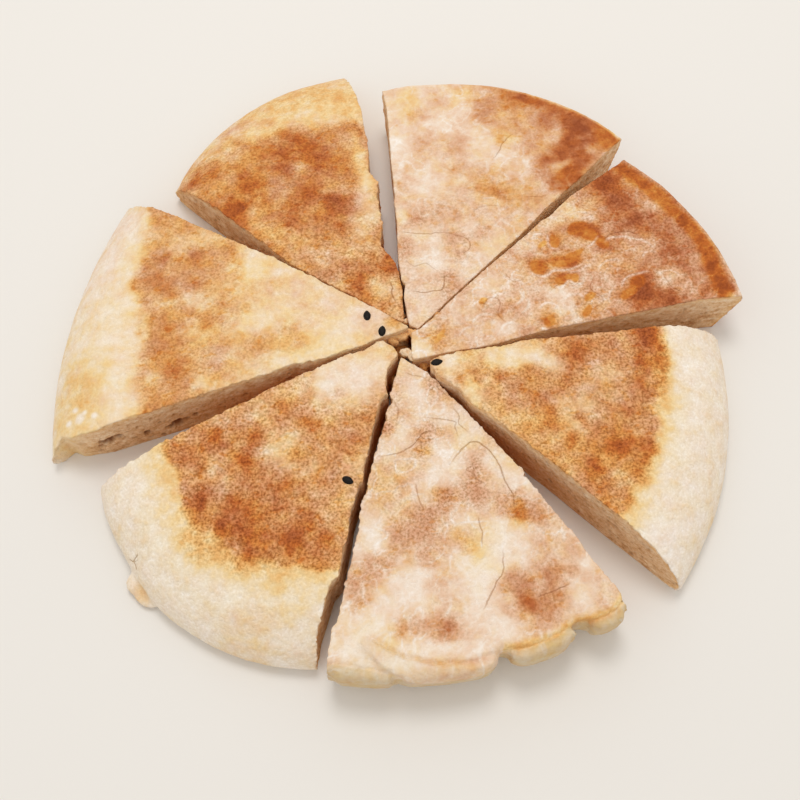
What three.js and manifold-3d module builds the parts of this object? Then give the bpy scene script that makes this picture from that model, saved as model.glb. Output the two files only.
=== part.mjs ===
// A round flatbread about 23 cm across, cut into seven wedges that still lie together as the whole loaf.
// Four wedges show their domed side. Three lie turned over, with the flat side up and a wall that leans in
// below it. Millimetres, +Z up. The origin is on the surface that the wedges rest on, under the middle of
// the whole. Plan points are measured from the place where the cuts cross.
import * as THREE from "three";
import { mergeVertices } from "three/addons/utils/BufferGeometryUtils.js";
import Module from "manifold-3d";

const wasm = await Module();
wasm.setup();

// Driving dimensions

const cutCrossing = { x: 0.6, y: -10.7 };

// The domed side up: a shoulder that falls away to a low, round rim.
const domed = { side: domedSide, shoulder: 24, roundness: 1.65, widestHeight: 4, footInset: 4.5, crown: 0.8 };
// The flat side up: a crisp top edge, a short upright lip, and a wall that leans in to the foot.
const turnedOver = { side: leaningSide, edge: 1.2, lip: 4.5, lean: 5.5, crown: 0.3 };
// The flat side up on the wedge with the lobed rim: a softer top edge and a fuller, rounder wall.
const lobed = { side: roundSide, edge: 2.8, widestHeight: 9, lean: 7, crown: 0.4 };

const rimStep = 6; // length of one facet along a rim
const lobeStep = 2.6; // the same where the rim is lobed
const ringStep = 26; // distance between the rings of the top and the underside
const lobeReach = { from: 0.8, full: 0.97 }; // where a notch starts and is whole, as shares of the radius
const wave = { height: 0.35, length: 46, crossLength: 58, start: 1.1 }; // broad, shallow waves of the top
const ripple = { height: 0.18, length: 35 }; // smaller waves that run across them
const cutOverrun = 34; // how far a cut runs on past the rim
const cutMargin = 5; // how far a cut passes the top and the underside
const seed = { length: 3.5, width: 2.1, height: 1.3, sunk: 0.25, sides: 6, rings: 4 };
const lumpFacets = { sides: 10, rings: 6 };

const creamCrust = { color: 0xe6cda6, roughness: 0.82 };
const toastedCrust = { color: 0xd9a877, roughness: 0.78 };
const flouredCrust = { color: 0xe0bfa2, roughness: 0.86 };

// Each wedge: its thickness, its section, the circle that its rim follows, the two cuts from the tip
// outwards (the right-hand one first, seen from the rim's outside as the angle grows), and what its crust
// carries.
const wedges = {
  wedge_far_left: {
    thickness: 18,
    section: domed,
    finish: toastedCrust,
    rim: { centre: [-7.5, 50.2], radius: 74.7 },
    firstCut: [
      [2.6, 10.8], [2.4, 15.5], [2.6, 24], [0.9, 33], [-0.6, 35.9], [-3.7, 39.8], [-3.7, 43.5],
      [-2.8, 48.2], [-4.1, 61], [-3.2, 66.7], [-4.7, 68.1], [-6.6, 71.5], [-6.3, 79.5], [-7.5, 91],
      [-8.3, 98.7], [-10.2, 107], [-13.3, 118.6],
    ],
    secondCut: [[0.4, 11.4], [-1.9, 12.9], [-8.3, 17.5], [-21.2, 25.9], [-33.5, 34.6], [-74.4, 74.1]],
  },
  wedge_far: {
    thickness: 18.5,
    section: turnedOver,
    finish: flouredCrust,
    rim: { centre: [18.8, 24.2], radius: 84.9 },
    firstCut: [
      [6.9, 7.4], [14.5, 14.4], [26.9, 26.1], [43.3, 41], [54.7, 52.8], [66.3, 63.3], [79.1, 75.6],
    ],
    secondCut: [
      [4.3, 8.9], [3.6, 13], [3.1, 20.5], [3.9, 24.6], [2.7, 26], [2, 35.5], [2.2, 50], [1.8, 57.2],
      [2.1, 60.5], [1.2, 85], [0.8, 99], [-0.2, 105.5],
    ],
  },
  wedge_far_right: {
    thickness: 20.5,
    section: turnedOver,
    finish: toastedCrust,
    rim: { centre: [17.6, -2.9], radius: 96.5 },
    firstCut: [
      [4.7, -4.2], [9.2, -3.7], [16.2, -2.6], [29.4, -0.9], [37.5, 0.9], [49.3, 3.8], [78.6, 8.4],
      [98.5, 11.6], [109.9, 12],
    ],
    secondCut: [
      [4.3, -2.6], [4.5, 1], [4.7, 5], [7.8, 6.6], [14.3, 12.4], [26.6, 23.7], [42.8, 37.8],
      [50.2, 44.5], [53.8, 46.7], [61.5, 54.2], [81.1, 67.7],
    ],
  },
  wedge_right: {
    thickness: 22,
    section: domed,
    finish: toastedCrust,
    rim: { centre: [-7.4, -6.2], radius: 114.3 },
    firstCut: [
      [10, -8.4], [11.2, -9.6], [12, -11.4], [13.4, -12.6], [18.2, -16], [21.3, -21], [29.9, -28.3],
      [45.1, -43], [62.2, -60.4], [80.4, -78.4],
    ],
    secondCut: [
      [9.9, -6.1], [12.5, -4.8], [16.1, -3.8], [25.4, -2.6], [32.3, -2.4], [38.9, -0.9], [51.6, -0.6],
      [82.2, 1.7],
    ],
    seeds: [{ at: [12, -6.8], turn: 12 }],
  },
  wedge_near: {
    thickness: 19,
    section: lobed,
    finish: flouredCrust,
    rim: {
      centre: [-0.7, 35],
      radius: 137.4,
      notches: [
        { angle: -79.1, depth: 3.8, width: 1.5 },
        { angle: -69.1, depth: 4.4, width: 1.7 },
      ],
    },
    firstCut: [
      [0.8, -2.6], [-0.6, -6.5], [-1.8, -11.5], [-3.2, -15.3], [-2.7, -18], [-5, -21.6], [-4.9, -24],
      [-8.1, -33.2], [-14.4, -55], [-13.9, -56], [-16.9, -67.4], [-21.8, -85.9], [-23.6, -88],
      [-24.9, -98.2],
    ],
    secondCut: [
      [2.4, -3.6], [6.7, -6.9], [8.6, -8.2], [12.4, -12.7], [15.2, -16.5], [24.6, -28.4],
      [36.3, -43.9], [36, -45], [50.1, -66], [51, -68.7], [60.1, -82.9],
    ],
    lumps: [{ at: [-0.5, -98.6, 5], size: [8, 4.6, 3], turn: 2 }],
  },
  wedge_near_left: {
    thickness: 20.5,
    section: domed,
    finish: toastedCrust,
    rim: {
      centre: [-26.3, -24.8],
      radius: 71.7,
      notches: [{ angle: -151, depth: 1.2, width: 8 }],
    },
    firstCut: [
      [-0.2, -1.4], [-1.5, 0.5], [-4.6, 3], [-6.2, 2.7], [-10.4, 0.3], [-18.5, -2.3], [-31.3, -7.9],
      [-59.4, -20.9], [-79.1, -30.6], [-88.2, -34],
    ],
    secondCut: [
      [0, -2.2], [-3.8, -7.3], [-4.5, -13], [-3.9, -15.9], [-5.8, -17.1], [-8.6, -24.8],
      [-12.6, -40.7], [-12.8, -44.5], [-14, -45], [-17, -53.8], [-17.7, -58.1], [-21, -72.4],
      [-23.7, -75.5], [-28.1, -88.4], [-29.4, -97],
    ],
    seeds: [{ at: [-17.2, -44], turn: -31 }],
    lumps: [
      { at: [-83.6, -66.4, 2.4], size: [4.6, 4.2, 2.3], turn: 30 },
      { at: [-81, -70.6, 1.9], size: [5.4, 3.6, 1.8], turn: -38 },
    ],
  },
  wedge_left: {
    thickness: 20.5,
    section: domed,
    finish: creamCrust,
    rim: { centre: [47.9, -8.3], radius: 162 },
    firstCut: [
      [3.4, 7.9], [0.3, 9.7], [-5, 13.9], [-14.6, 20.2], [-40.8, 37.3], [-73.2, 55.8], [-86.5, 63.8],
    ],
    secondCut: [
      [3.8, 6.9], [0.4, 5.6], [-4.5, 4.3], [-12, 1.3], [-28.7, -3.7], [-31.2, -2.8], [-39.8, -5.9],
      [-62.8, -12.4], [-94.5, -21.6], [-104, -22.6], [-107.4, -21], [-112.9, -25.8],
    ],
    seeds: [
      { at: [-9.3, 12.2], turn: 92 },
      { at: [-4.7, 6.2], turn: 82 },
    ],
    lumps: [{ at: [0.9, 5.9, 8.5], size: [2.9, 2.5, 4.5], turn: 15 }],
  },
};

// Geometry helpers

const radians = THREE.MathUtils.degToRad;

function solidOf(geometry) {
  geometry.deleteAttribute("normal");
  geometry.deleteAttribute("uv");
  const merged = mergeVertices(geometry, 1e-4);
  const vertProperties = new Float32Array(merged.attributes.position.array);
  const triVerts = new Uint32Array(merged.index.array);
  return new wasm.Manifold(new wasm.Mesh({ numProp: 3, vertProperties, triVerts }));
}

function geometryOf(solid) {
  const { vertProperties, triVerts } = solid.getMesh();
  const geometry = new THREE.BufferGeometry();
  geometry.setAttribute("position", new THREE.BufferAttribute(new Float32Array(vertProperties), 3));
  geometry.setIndex(new THREE.BufferAttribute(new Uint32Array(triVerts), 1));
  return geometry.toNonIndexed();
}

// A quarter of a rounded corner, as steps along it: [how far out, how far up], each from 0 to 1.
function cornerSteps(count, roundness) {
  return Array.from({ length: count + 1 }, (_, i) => {
    const turn = (i / count) * (Math.PI / 2);
    return [Math.cos(turn) ** (2 / roundness), Math.sin(turn) ** (2 / roundness)];
  });
}

// Rings between the axis and the flat's edge, from the outside in.
function ringRadii(edgeRadius) {
  const count = Math.max(1, Math.round(edgeRadius / ringStep));
  return Array.from({ length: count }, (_, i) => edgeRadius * (1 - (i + 1) / count));
}

// The sides of the three sections, from the foot up to the edge of the top, as [radius, height].
function domedSide({ shoulder, roundness, widestHeight, footInset }, radius, thickness) {
  const foot = cornerSteps(4, 2).reverse();
  const dome = cornerSteps(9, roundness).slice(1);
  const rise = thickness - widestHeight;
  return [
    ...foot.map(([out, up]) => [radius - footInset * (1 - out), widestHeight * (1 - up)]),
    ...dome.map(([out, up]) => [radius - shoulder * (1 - out), widestHeight + rise * up]),
  ];
}

function leaningSide({ edge, lip, lean }, radius, thickness) {
  const wallSteps = 3;
  const wall = Array.from({ length: wallSteps + 1 }, (_, i) => i / wallSteps);
  return [
    ...wall.map((up) => [radius - lean * (1 - up), (thickness - lip) * up]),
    ...topEdge(edge, 2, radius, thickness),
  ];
}

function roundSide({ edge, widestHeight, lean }, radius, thickness) {
  const foot = cornerSteps(5, 2).reverse();
  return [
    ...foot.map(([out, up]) => [radius - lean * (1 - out), widestHeight * (1 - up)]),
    ...topEdge(edge, 3, radius, thickness),
  ];
}

function topEdge(edge, count, radius, thickness) {
  return cornerSteps(count, 2).map(([out, up]) => [radius - edge * (1 - out), thickness - edge * (1 - up)]);
}

// Half a section through the whole disc, from the middle of the underside, round the rim, to the middle
// of the top.
function sectionPoints(section, radius, thickness) {
  const side = section.side(section, radius, thickness);
  const footRadius = side[0][0];
  const topRadius = side.at(-1)[0];
  const under = ringRadii(footRadius).reverse().map((r) => [r, 0]);
  const top = ringRadii(topRadius).map((r) => [r, thickness + section.crown * (1 - (r / topRadius) ** 2)]);
  return [...under, ...side, ...top].map(([r, z]) => new THREE.Vector2(r, z));
}

// How far the rim steps in at an angle round its own centre.
function rimInset(rim, angle) {
  let inset = 0;
  for (const { angle: at, depth, width } of rim.notches ?? [])
    inset += depth * Math.exp(-(((angle - radians(at)) / radians(width)) ** 2));
  return inset;
}

// How far the top rises or sinks at a point.
function topWave(x, y) {
  const turn = 2 * Math.PI;
  const broad = Math.sin((turn * x) / wave.length + wave.start) * Math.cos((turn * y) / wave.crossLength);
  return wave.height * broad + ripple.height * Math.sin((turn * (x + y)) / ripple.length);
}

// The whole disc that a wedge is cut from.
function disc({ thickness, section, rim }) {
  const step = section === lobed ? lobeStep : rimStep;
  const segments = Math.round((2 * Math.PI * rim.radius) / step);
  const geometry = new THREE.LatheGeometry(sectionPoints(section, rim.radius, thickness), segments);
  geometry.rotateX(Math.PI / 2);
  const position = geometry.attributes.position;
  for (let i = 0; i < position.count; i++) {
    let x = position.getX(i);
    let y = position.getY(i);
    let z = position.getZ(i);
    const out = Math.hypot(x, y);
    const share = THREE.MathUtils.smoothstep(out / rim.radius, lobeReach.from, lobeReach.full);
    const scale = out > 0 ? 1 - (rimInset(rim, Math.atan2(y, x)) * share) / out : 1;
    x = x * scale + rim.centre[0];
    y = y * scale + rim.centre[1];
    z += z > 0 ? (topWave(x, y) * z) / thickness : 0;
    position.setXYZ(i, x, y, z);
  }
  return solidOf(geometry);
}

// A cut carried on past the rim in its last direction.
function carriedOn(cut) {
  const [beforeX, beforeY] = cut.at(-2);
  const [lastX, lastY] = cut.at(-1);
  const length = Math.hypot(lastX - beforeX, lastY - beforeY);
  const share = cutOverrun / length;
  return [...cut, [lastX + (lastX - beforeX) * share, lastY + (lastY - beforeY) * share]];
}

// The upright prism between two cuts.
function betweenCuts({ thickness, firstCut, secondCut }) {
  const outline = [...carriedOn(firstCut), ...carriedOn(secondCut).reverse()];
  const shape = new THREE.Shape(outline.map(([x, y]) => new THREE.Vector2(x, y)));
  const depth = thickness + 2 * cutMargin;
  const geometry = new THREE.ExtrudeGeometry(shape, { depth, bevelEnabled: false });
  return solidOf(geometry.translate(0, 0, -cutMargin));
}

// An oval lump of the given half sizes, with its middle at a point and its length turned round from +X.
function oval([length, width, height], [x, y, z], turn, { sides, rings }) {
  const geometry = new THREE.SphereGeometry(1, sides, rings);
  geometry.rotateX(Math.PI / 2);
  geometry.scale(length, width, height).rotateZ(radians(turn)).translate(x, y, z);
  return solidOf(geometry);
}

// The crust's height above the flat under a point well inside the rim.
function crustHeight({ thickness, section, rim }, [x, y]) {
  const out = Math.hypot(x - rim.centre[0], y - rim.centre[1]);
  const crown = section.crown * (1 - (out / (rim.radius - (section.shoulder ?? 0))) ** 2);
  return thickness + crown + topWave(x, y);
}

// A wedge with the crumb lumps and seeds that are stuck to it.
function wedgeSolid(wedge) {
  let solid = disc(wedge).intersect(betweenCuts(wedge));
  for (const { at, size, turn } of wedge.lumps ?? []) {
    solid = solid.add(oval(size, at, turn, lumpFacets));
  }
  const halfSeed = [seed.length / 2, seed.width / 2, seed.height / 2];
  for (const { at, turn } of wedge.seeds ?? []) {
    const middle = [...at, crustHeight(wedge, at) - seed.sunk];
    solid = solid.add(oval(halfSeed, middle, turn, seed));
  }
  return solid;
}

// The loaf

const flatbread = new THREE.Group();
flatbread.position.set(cutCrossing.x, cutCrossing.y, 0);
for (const [name, wedge] of Object.entries(wedges)) {
  const material = new THREE.MeshStandardMaterial({ ...wedge.finish, metalness: 0 });
  const mesh = new THREE.Mesh(geometryOf(wedgeSolid(wedge)), material);
  mesh.name = name;
  flatbread.add(mesh);
}

export default flatbread;
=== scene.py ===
"""A round pan-baked flatbread, cut into seven wedges that still lie together as the whole loaf."""

import itertools
import math

import bpy
import numpy as np
from mathutils import Matrix, Vector
from mathutils.bvhtree import BVHTree


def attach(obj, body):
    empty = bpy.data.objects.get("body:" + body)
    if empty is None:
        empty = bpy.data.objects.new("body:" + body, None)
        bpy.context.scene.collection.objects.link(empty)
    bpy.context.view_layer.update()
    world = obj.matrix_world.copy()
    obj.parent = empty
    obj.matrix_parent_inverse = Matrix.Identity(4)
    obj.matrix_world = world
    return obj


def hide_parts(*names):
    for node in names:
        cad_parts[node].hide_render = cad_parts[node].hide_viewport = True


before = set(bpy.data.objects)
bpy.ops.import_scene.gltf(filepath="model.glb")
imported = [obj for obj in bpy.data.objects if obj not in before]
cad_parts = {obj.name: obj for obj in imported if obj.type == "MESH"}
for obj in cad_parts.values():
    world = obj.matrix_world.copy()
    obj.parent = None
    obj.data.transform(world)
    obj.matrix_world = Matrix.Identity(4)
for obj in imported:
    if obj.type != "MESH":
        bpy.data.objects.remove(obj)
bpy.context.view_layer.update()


# ------------------------------------------------------------------------------------------------------
# The wedge at the far left: the smallest one, with its domed and well toasted side up. It is one piece of
# white wheat bread, crust and crumb together, baked in a pan and cut through with a knife, so its body is
# a copy of the plain wedge with a finer skin. It lies loose beside its neighbours.

MM = 0.001
CUT_CROSSING = (0.6, -10.7)  # the place where the cuts cross; plan points below are millimetres from there
SKIN_STEP = 0.46  # millimetres between the points of the fine skin
EDGE_KEPT = 1.6  # width in millimetres beside a cut edge that stays crisp
CORNERS = list(itertools.product((0, 1), repeat=3))
SOFT_EDGE = 2.6  # how quickly a daub fades at its rim
CRISP_EDGE = 8.0
BENDS = 8  # straight steps between two of the points that a crack runs through
CRACK_REACH = 1.5  # how far from a crack its values are worked out
CRACK_WIDTH = 0.4
CRACK_DEPTH = 0.22
FOLD_REACH = 6.0
FOLD_WIDTH = 0.7
FOLD_DEPTH = 0.9
LOBE_SWELL = 1.3  # how far the rim swells outwards beyond a fold
DENT_HEIGHT = 0.2  # the broad dents of the crust, its ripples, its blisters and its wrinkles
RIPPLE_HEIGHT = 0.07
BLISTER_HEIGHT = 0.06
WRINKLE_HEIGHT = 0.12
STREAK_DEPTH = 0.09  # the knife's streaks, the torn crumb and the pores of the cut faces
TORN_DEPTH = 0.2
PORE_DEPTH = 1.3
RAGGED_WIDTH = 0.9  # width of the ragged edge between crust and cut
BED_RADIUS = 2.4  # a seed's bed, and the ring of crust round it that gives the bed its level
BED_RING = (2.3, 4.0)


def select_only(piece):
    bpy.ops.object.select_all(action="DESELECT")
    piece.select_set(True)
    bpy.context.view_layer.objects.active = piece


def merged_copy(node, name):
    """A copy of a CAD node with its loose triangles merged into one closed body."""
    piece = bpy.data.objects.new(name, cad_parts[node].data.copy())
    bpy.context.scene.collection.objects.link(piece)
    select_only(piece)
    bpy.ops.object.mode_set(mode="EDIT")
    bpy.ops.mesh.select_all(action="SELECT")
    bpy.ops.mesh.remove_doubles(threshold=0.001 * MM)
    bpy.ops.object.mode_set(mode="OBJECT")
    return piece


def vertex_values(mesh, name):
    values = np.empty(3 * len(mesh.vertices), np.float32)
    mesh.vertices.foreach_get(name, values)
    return values.reshape(-1, 3).astype(float)


def plan_points(mesh):
    """The vertices in millimetres, measured in plan from the place where the cuts cross."""
    return vertex_values(mesh, "co") / MM - (*CUT_CROSSING, 0.0)


def set_plan_points(mesh, points):
    mesh.vertices.foreach_set("co", ((points + (*CUT_CROSSING, 0.0)) * MM).ravel())
    mesh.update()


def face_kinds(mesh):
    """Sorts the plain wedge's faces into crust, cut faces and underside, by how they face."""
    kinds = {"crust": [], "cut": [], "under": []}
    rim_distance = 60 * MM
    for face in mesh.polygons:
        outward = Vector((face.center.x - CUT_CROSSING[0] * MM, face.center.y - CUT_CROSSING[1] * MM, 0))
        on_rim = outward.length > rim_distance and face.normal.dot(outward.normalized()) > 0.65
        if face.normal.z < -0.99:
            kinds["under"].append(tuple(face.vertices))
        elif abs(face.normal.z) < 0.02 and not on_rim:
            kinds["cut"].append(tuple(face.vertices))
        else:
            kinds["crust"].append(tuple(face.vertices))
    return kinds


def distances(points, mesh, faces):
    """How far each point is from the nearest of the given faces, in millimetres."""
    tree = BVHTree.FromPolygons([vertex.co.copy() for vertex in mesh.vertices], faces)
    found = (tree.find_nearest(point)[3] for point in points)
    return np.fromiter(found, float, len(points)) / MM


def lattice(cells, seed):
    """A fixed random value from -1 to 1 for each whole-numbered cell."""
    mixed = cells @ np.array([374761393, 668265263, 1440662683]) + seed * 1274126177
    mixed = (mixed ^ (mixed >> 13)) & 0xFFFFFFFF
    mixed = (mixed * 1103515245 + 12345) & 0xFFFFFFFF
    mixed ^= mixed >> 15
    mixed = (mixed * 2246822519) & 0xFFFFFFFF
    mixed ^= mixed >> 13
    return (mixed & 0xFFFF) / 32767.5 - 1


def noise(points, cell, seed):
    """Smooth seeded noise from -1 to 1, with bumps about one cell across."""
    place = points / cell
    low = np.floor(place).astype(np.int64)
    share = place - low
    share = share * share * share * (share * (share * 6 - 15) + 10)
    total = np.zeros(len(points))
    for corner in CORNERS:
        weight = np.prod(np.where(corner, share, 1 - share), axis=1)
        total += weight * lattice(low + corner, seed)
    return total


def layered(points, cell, seed, layers=3):
    """Noise at several sizes, each half as large and half as strong as the one before."""
    turned = points
    total = np.zeros(len(points))
    for layer in range(layers):
        total += noise(turned, cell / 2**layer, seed + layer) / 2**layer
        turned = turned @ np.array([[0.8, 0.6, 0.0], [-0.6, 0.8, 0.0], [0.0, 0.0, 1.0]]) + 17.3
    return total


def fade(value, low, high):
    """0 below low, 1 above high, and a smooth step between."""
    share = np.clip((value - low) / (high - low), 0, 1)
    return share * share * (3 - 2 * share)


def cover(points, x, y, radius, stretch=1.0, turn=0.0, edge=SOFT_EDGE):
    """How much an oval daub covers each point: 1 in its middle, and a half at its radius."""
    angle = math.radians(turn)
    across = (points[:, 1] - y) * math.cos(angle) - (points[:, 0] - x) * math.sin(angle)
    along = (points[:, 0] - x) * math.cos(angle) + (points[:, 1] - y) * math.sin(angle)
    return 0.5 ** ((np.hypot(along / stretch, across) / radius) ** edge)


def daubed(points, value, daubs, edge=SOFT_EDGE):
    """A value changed by daubs, as with a brush: each is (x, y, radius, new value[, stretch, turn])."""
    for x, y, radius, new, *oval in daubs:
        value = value + (new - value) * cover(points, x, y, radius, *oval, edge=edge)
    return value


def bent_line(corners):
    """A smooth line through a few plan points."""
    ends = [corners[0], *corners, corners[-1]]
    line = []
    for before, first, second, after in zip(ends, ends[1:], ends[2:], ends[3:]):
        before, first, second, after = np.array([before, first, second, after], float)
        for share in np.arange(0, 1, 1 / BENDS):
            swing = (second - before) * share + (2 * before - 5 * first + 4 * second - after) * share**2
            line.append(first + (swing + (3 * (first - second) + after - before) * share**3) / 2)
    return [*line, np.array(corners[-1], float)]


def crack_field(points, cracks, seed, reach=CRACK_REACH):
    """How far each point is from the nearest crack, in millimetres and below 0 on its right, and how strong
    that crack is. Each crack is (its strength, the plan points that it runs through)."""
    nearest = np.full(len(points), reach)
    offset = np.full(len(points), reach)
    strength = np.zeros(len(points))
    wander = [0.35 * layered(points, 3.1, seed + axis) for axis in range(2)]
    flat = points[:, :2] + np.stack(wander, axis=1)
    for depth, corners in cracks:
        line = bent_line(corners)
        low = np.min(line, axis=0) - reach
        high = np.max(line, axis=0) + reach
        close = np.flatnonzero(np.all((flat > low) & (flat < high), axis=1))
        for index, (start, end) in enumerate(itertools.pairwise(line)):
            step = end - start
            share = np.clip((flat[close] - start) @ step / (step @ step), 0, 1)
            away = flat[close] - start - share[:, None] * step
            far = np.linalg.norm(away, axis=1)
            turned = np.sign(step[0] * away[:, 1] - step[1] * away[:, 0])
            along = (index + share) / (len(line) - 1)
            taper = np.clip(5 * np.minimum(along, 1 - along), 0, 1)
            better = far < nearest[close]
            chosen = close[better]
            nearest[chosen] = far[better]
            offset[chosen] = (turned * far)[better]
            strength[chosen] = (depth * taper * (1 - fade(far, reach / 2, reach)))[better]
    return offset, strength


def warped(points, amount, seed):
    """The points moved about a little, so that what is placed by them gets an uneven outline."""
    moved = points.copy()
    for axis in range(2):
        moved[:, axis] += amount * layered(points, 6.5, seed + 7 * axis, 3)
    return moved


def inside_circle(points, centre, radius, soft):
    """1 inside a circle of the plan and 0 outside, with a soft rim."""
    away = np.hypot(points[:, 0] - centre[0], points[:, 1] - centre[1])
    return 1 - fade(away, radius - soft, radius + soft)


def pores(points, cell, seed, share):
    """Pits of the crumb: 1 in the middle of a pit and 0 outside. Each cell holds one with this chance."""
    place = points / cell
    low = np.floor(place).astype(np.int64)
    depth = np.zeros(len(points))
    for step in itertools.product((-1, 0, 1), repeat=3):
        at = low + step
        middle = at + 0.5 + 0.35 * np.stack([lattice(at, seed + axis) for axis in range(3)], axis=1)
        size = 0.34 + 0.16 * lattice(at, seed + 3)
        there = lattice(at, seed + 4) < 2 * share - 1
        away = np.linalg.norm(place - middle, axis=1) / size
        depth = np.maximum(depth, np.where(there, np.clip(1 - away**2, 0, 1), 0))
    return depth


def placed_pores(points, places):
    """The larger pits, where they lie on a cut face: each is (x, y, height, length, width) of its mouth."""
    depth = np.zeros(len(points))
    for x, y, z, length, width in places:
        across = np.hypot(points[:, 0] - x, points[:, 1] - y) / (length / 2)
        upward = (points[:, 2] - z) / (width / 2)
        ragged = np.hypot(across, upward) * (1 + 0.25 * noise(points, 1.1, 7))
        depth = np.maximum(depth, np.clip(1.25 - ragged**2, 0, 1))
    return depth


def smooth_crust(piece, weights, passes):
    """Rounds off the facets where the weights are high."""
    group = piece.vertex_groups.new(name="rounded")
    for level in range(1, 5):
        chosen = np.flatnonzero(np.round(weights * 4) == level).tolist()
        group.add(chosen, level / 4, "REPLACE")
    select_only(piece)
    bpy.ops.object.modifier_add(type="SMOOTH")
    smoothing = piece.modifiers[-1]
    smoothing.factor = 0.5
    smoothing.iterations = passes
    smoothing.vertex_group = group.name
    bpy.ops.object.modifier_apply(modifier=smoothing.name)
    piece.vertex_groups.clear()


def level_seed_beds(points, open_crust, seeds):
    """Takes off the plain seeds that are fused to the copied wedge, down to the crust round them."""
    for x, y, _ in seeds:
        away = np.hypot(points[:, 0] - x, points[:, 1] - y)
        ring = open_crust & (away > BED_RING[0]) & (away < BED_RING[1])
        plane = np.c_[points[ring, :2], np.ones(ring.sum())]
        slope, *_ = np.linalg.lstsq(plane, points[ring, 2], rcond=None)
        level = points[:, :2] @ slope[:2] + slope[2]
        bed = (away < BED_RADIUS) & (points[:, 2] > level)
        points[bed, 2] = level[bed]
    return points


def set_attribute(mesh, name, values):
    layer = mesh.attributes.new(name, "FLOAT", "POINT")
    layer.data.foreach_set("value", np.asarray(values, np.float32))


def bread_wedge(node, name, thickness, paint, seed, grain, cracks=(), veins=(), folds=(), pits=(), seeds=(),
                wrinkled=0.0, crumbly=0.32, rounding=40, uncut=None):
    """A wedge of bread with a fine skin: the crust's dents and cracks, the torn crumb of the cut faces with
    its pores, and the values that its material reads. paint gives the crust's tone, from pale to dark, its
    flour and how bare it is, and grain says how coarse it looks, at the tip and at the rim."""
    piece = merged_copy(node, name)
    plain = piece.data.copy()
    kinds = face_kinds(plain)
    piece.data.remesh_voxel_size = SKIN_STEP * MM
    bpy.ops.object.voxel_remesh()
    places = vertex_values(piece.data, "co")
    to_cut = distances(places, plain, kinds["cut"])
    to_crust = distances(places, plain, kinds["crust"])
    to_under = distances(places, plain, kinds["under"])
    bpy.data.meshes.remove(plain)

    smooth_crust(piece, np.where(to_crust < 0.4, fade(to_cut, 0.3, EDGE_KEPT), 0), rounding)
    points = plan_points(piece.data)
    points = level_seed_beds(points, (to_crust < 0.4) & (to_cut > 0.9), seeds)
    set_plan_points(piece.data, points)
    normals = vertex_values(piece.data, "normal")

    uneven = 0.3 * layered(points, 1.4, seed + 1, 2)
    cut = fade(to_crust + uneven, 0.3, 0.8) * fade(to_under, 0.0, 0.5)
    crust = 1 - cut
    above = fade(to_under, 0.3, 2.0)
    tone, flour, bare = paint(points)
    dark = fade(tone, 0.5, 0.85)
    tone = tone + 0.1 * dark + fade(tone, 0.1, 0.4) * 0.07 * layered(points, 3.4, seed + 70, 3)
    flour = flour - 0.25 * dark

    # The crust: broad dents, small blisters where it is toasted, and fine wrinkles under the flour.
    lift = DENT_HEIGHT * layered(points, 17, seed + 2, 2)
    lift += RIPPLE_HEIGHT * layered(points, 3.6, seed + 5, 3)
    lift += BLISTER_HEIGHT * fade(tone, 0.2, 0.7) * layered(points, 1.2, seed + 9, 2)
    swirl = points + 2.2 * np.stack([layered(points, 7, seed + 15 + axis) for axis in range(3)], axis=1)
    broad = np.clip(1 - np.abs(noise(swirl, 5.5, seed + 12)) * 9, 0, 1)
    broad *= fade(noise(points, 9, seed + 13), -0.2, 0.3)
    fine = np.clip(1 - np.abs(noise(swirl, 2.6, seed + 14)) * 5, 0, 1)
    ridge = wrinkled * np.maximum(broad, 0.4 * fine)
    away, height = crack_field(points, veins, seed + 16)
    vein = height * np.exp(-((away / CRACK_WIDTH) ** 2))
    ridge = np.maximum(ridge, vein)
    lift += WRINKLE_HEIGHT * ridge
    offset, strength = crack_field(points, cracks, seed + 20)
    lift -= CRACK_DEPTH * strength * np.exp(-((offset / CRACK_WIDTH) ** 2))
    for fold in folds:
        away, depth = crack_field(points, [fold], seed + 19, FOLD_REACH)
        outside = fade(-away, 0.2, 1.2) * fade(depth, 0.0, 0.4)
        groove = depth * np.exp(-((away / FOLD_WIDTH) ** 2)) * fade(points[:, 2], 11, 14)
        lift -= FOLD_DEPTH * groove
        lift += LOBE_SWELL * outside * fade(points[:, 2], 2, 9) * fade(to_cut, 0.5, 4)
        # Painted shade: the fold's groove is painted a little browner and less floury.
        tone = tone + 0.04 * groove
        flour = flour - 0.1 * groove
    lift *= fade(points[:, 2], 0.5, 3.0)

    # The cut faces: streaks drawn by the knife, torn crumb and pores.
    streak = layered(points * (0.45, 0.45, 1), 1.5, seed + 30, 3)
    torn = layered(points, 1.9, seed + 33, 3)
    low_half = 1 - fade(points[:, 2] / thickness, 0.3, 0.75)
    pit = 0.8 * pores(warped(points, 0.8, seed + 38), 3.4, seed + 40, 0.16) * (0.2 + 0.8 * low_half)
    pit = np.maximum(pit, 0.45 * pores(points * (1, 1, 1.4), 1.7, seed + 50, 0.3))
    pit = np.maximum(pit, placed_pores(points, pits))
    dent = STREAK_DEPTH * streak + TORN_DEPTH * torn - PORE_DEPTH * pit

    room = 0.25 + 0.75 * fade(np.hypot(points[:, 0], points[:, 1]), 2, 16)
    move = crust * lift * above + cut * dent * room * fade(to_under, 0.2, 1.5)
    move *= fade(points[:, 2], 0, 0.6)
    points = points + normals * move[:, None]
    # The edge between crust and cut is ragged.
    ragged = crumbly * np.exp(-((np.maximum(to_cut, to_crust) / RAGGED_WIDTH) ** 2)) * above * room
    points[:, 0] += ragged * layered(points, 1.7, seed + 60, 3)
    points[:, 1] += ragged * layered(points, 1.7, seed + 63, 3)
    points[:, 2] = np.maximum(points[:, 2], 0)
    set_plan_points(piece.data, points)

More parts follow.
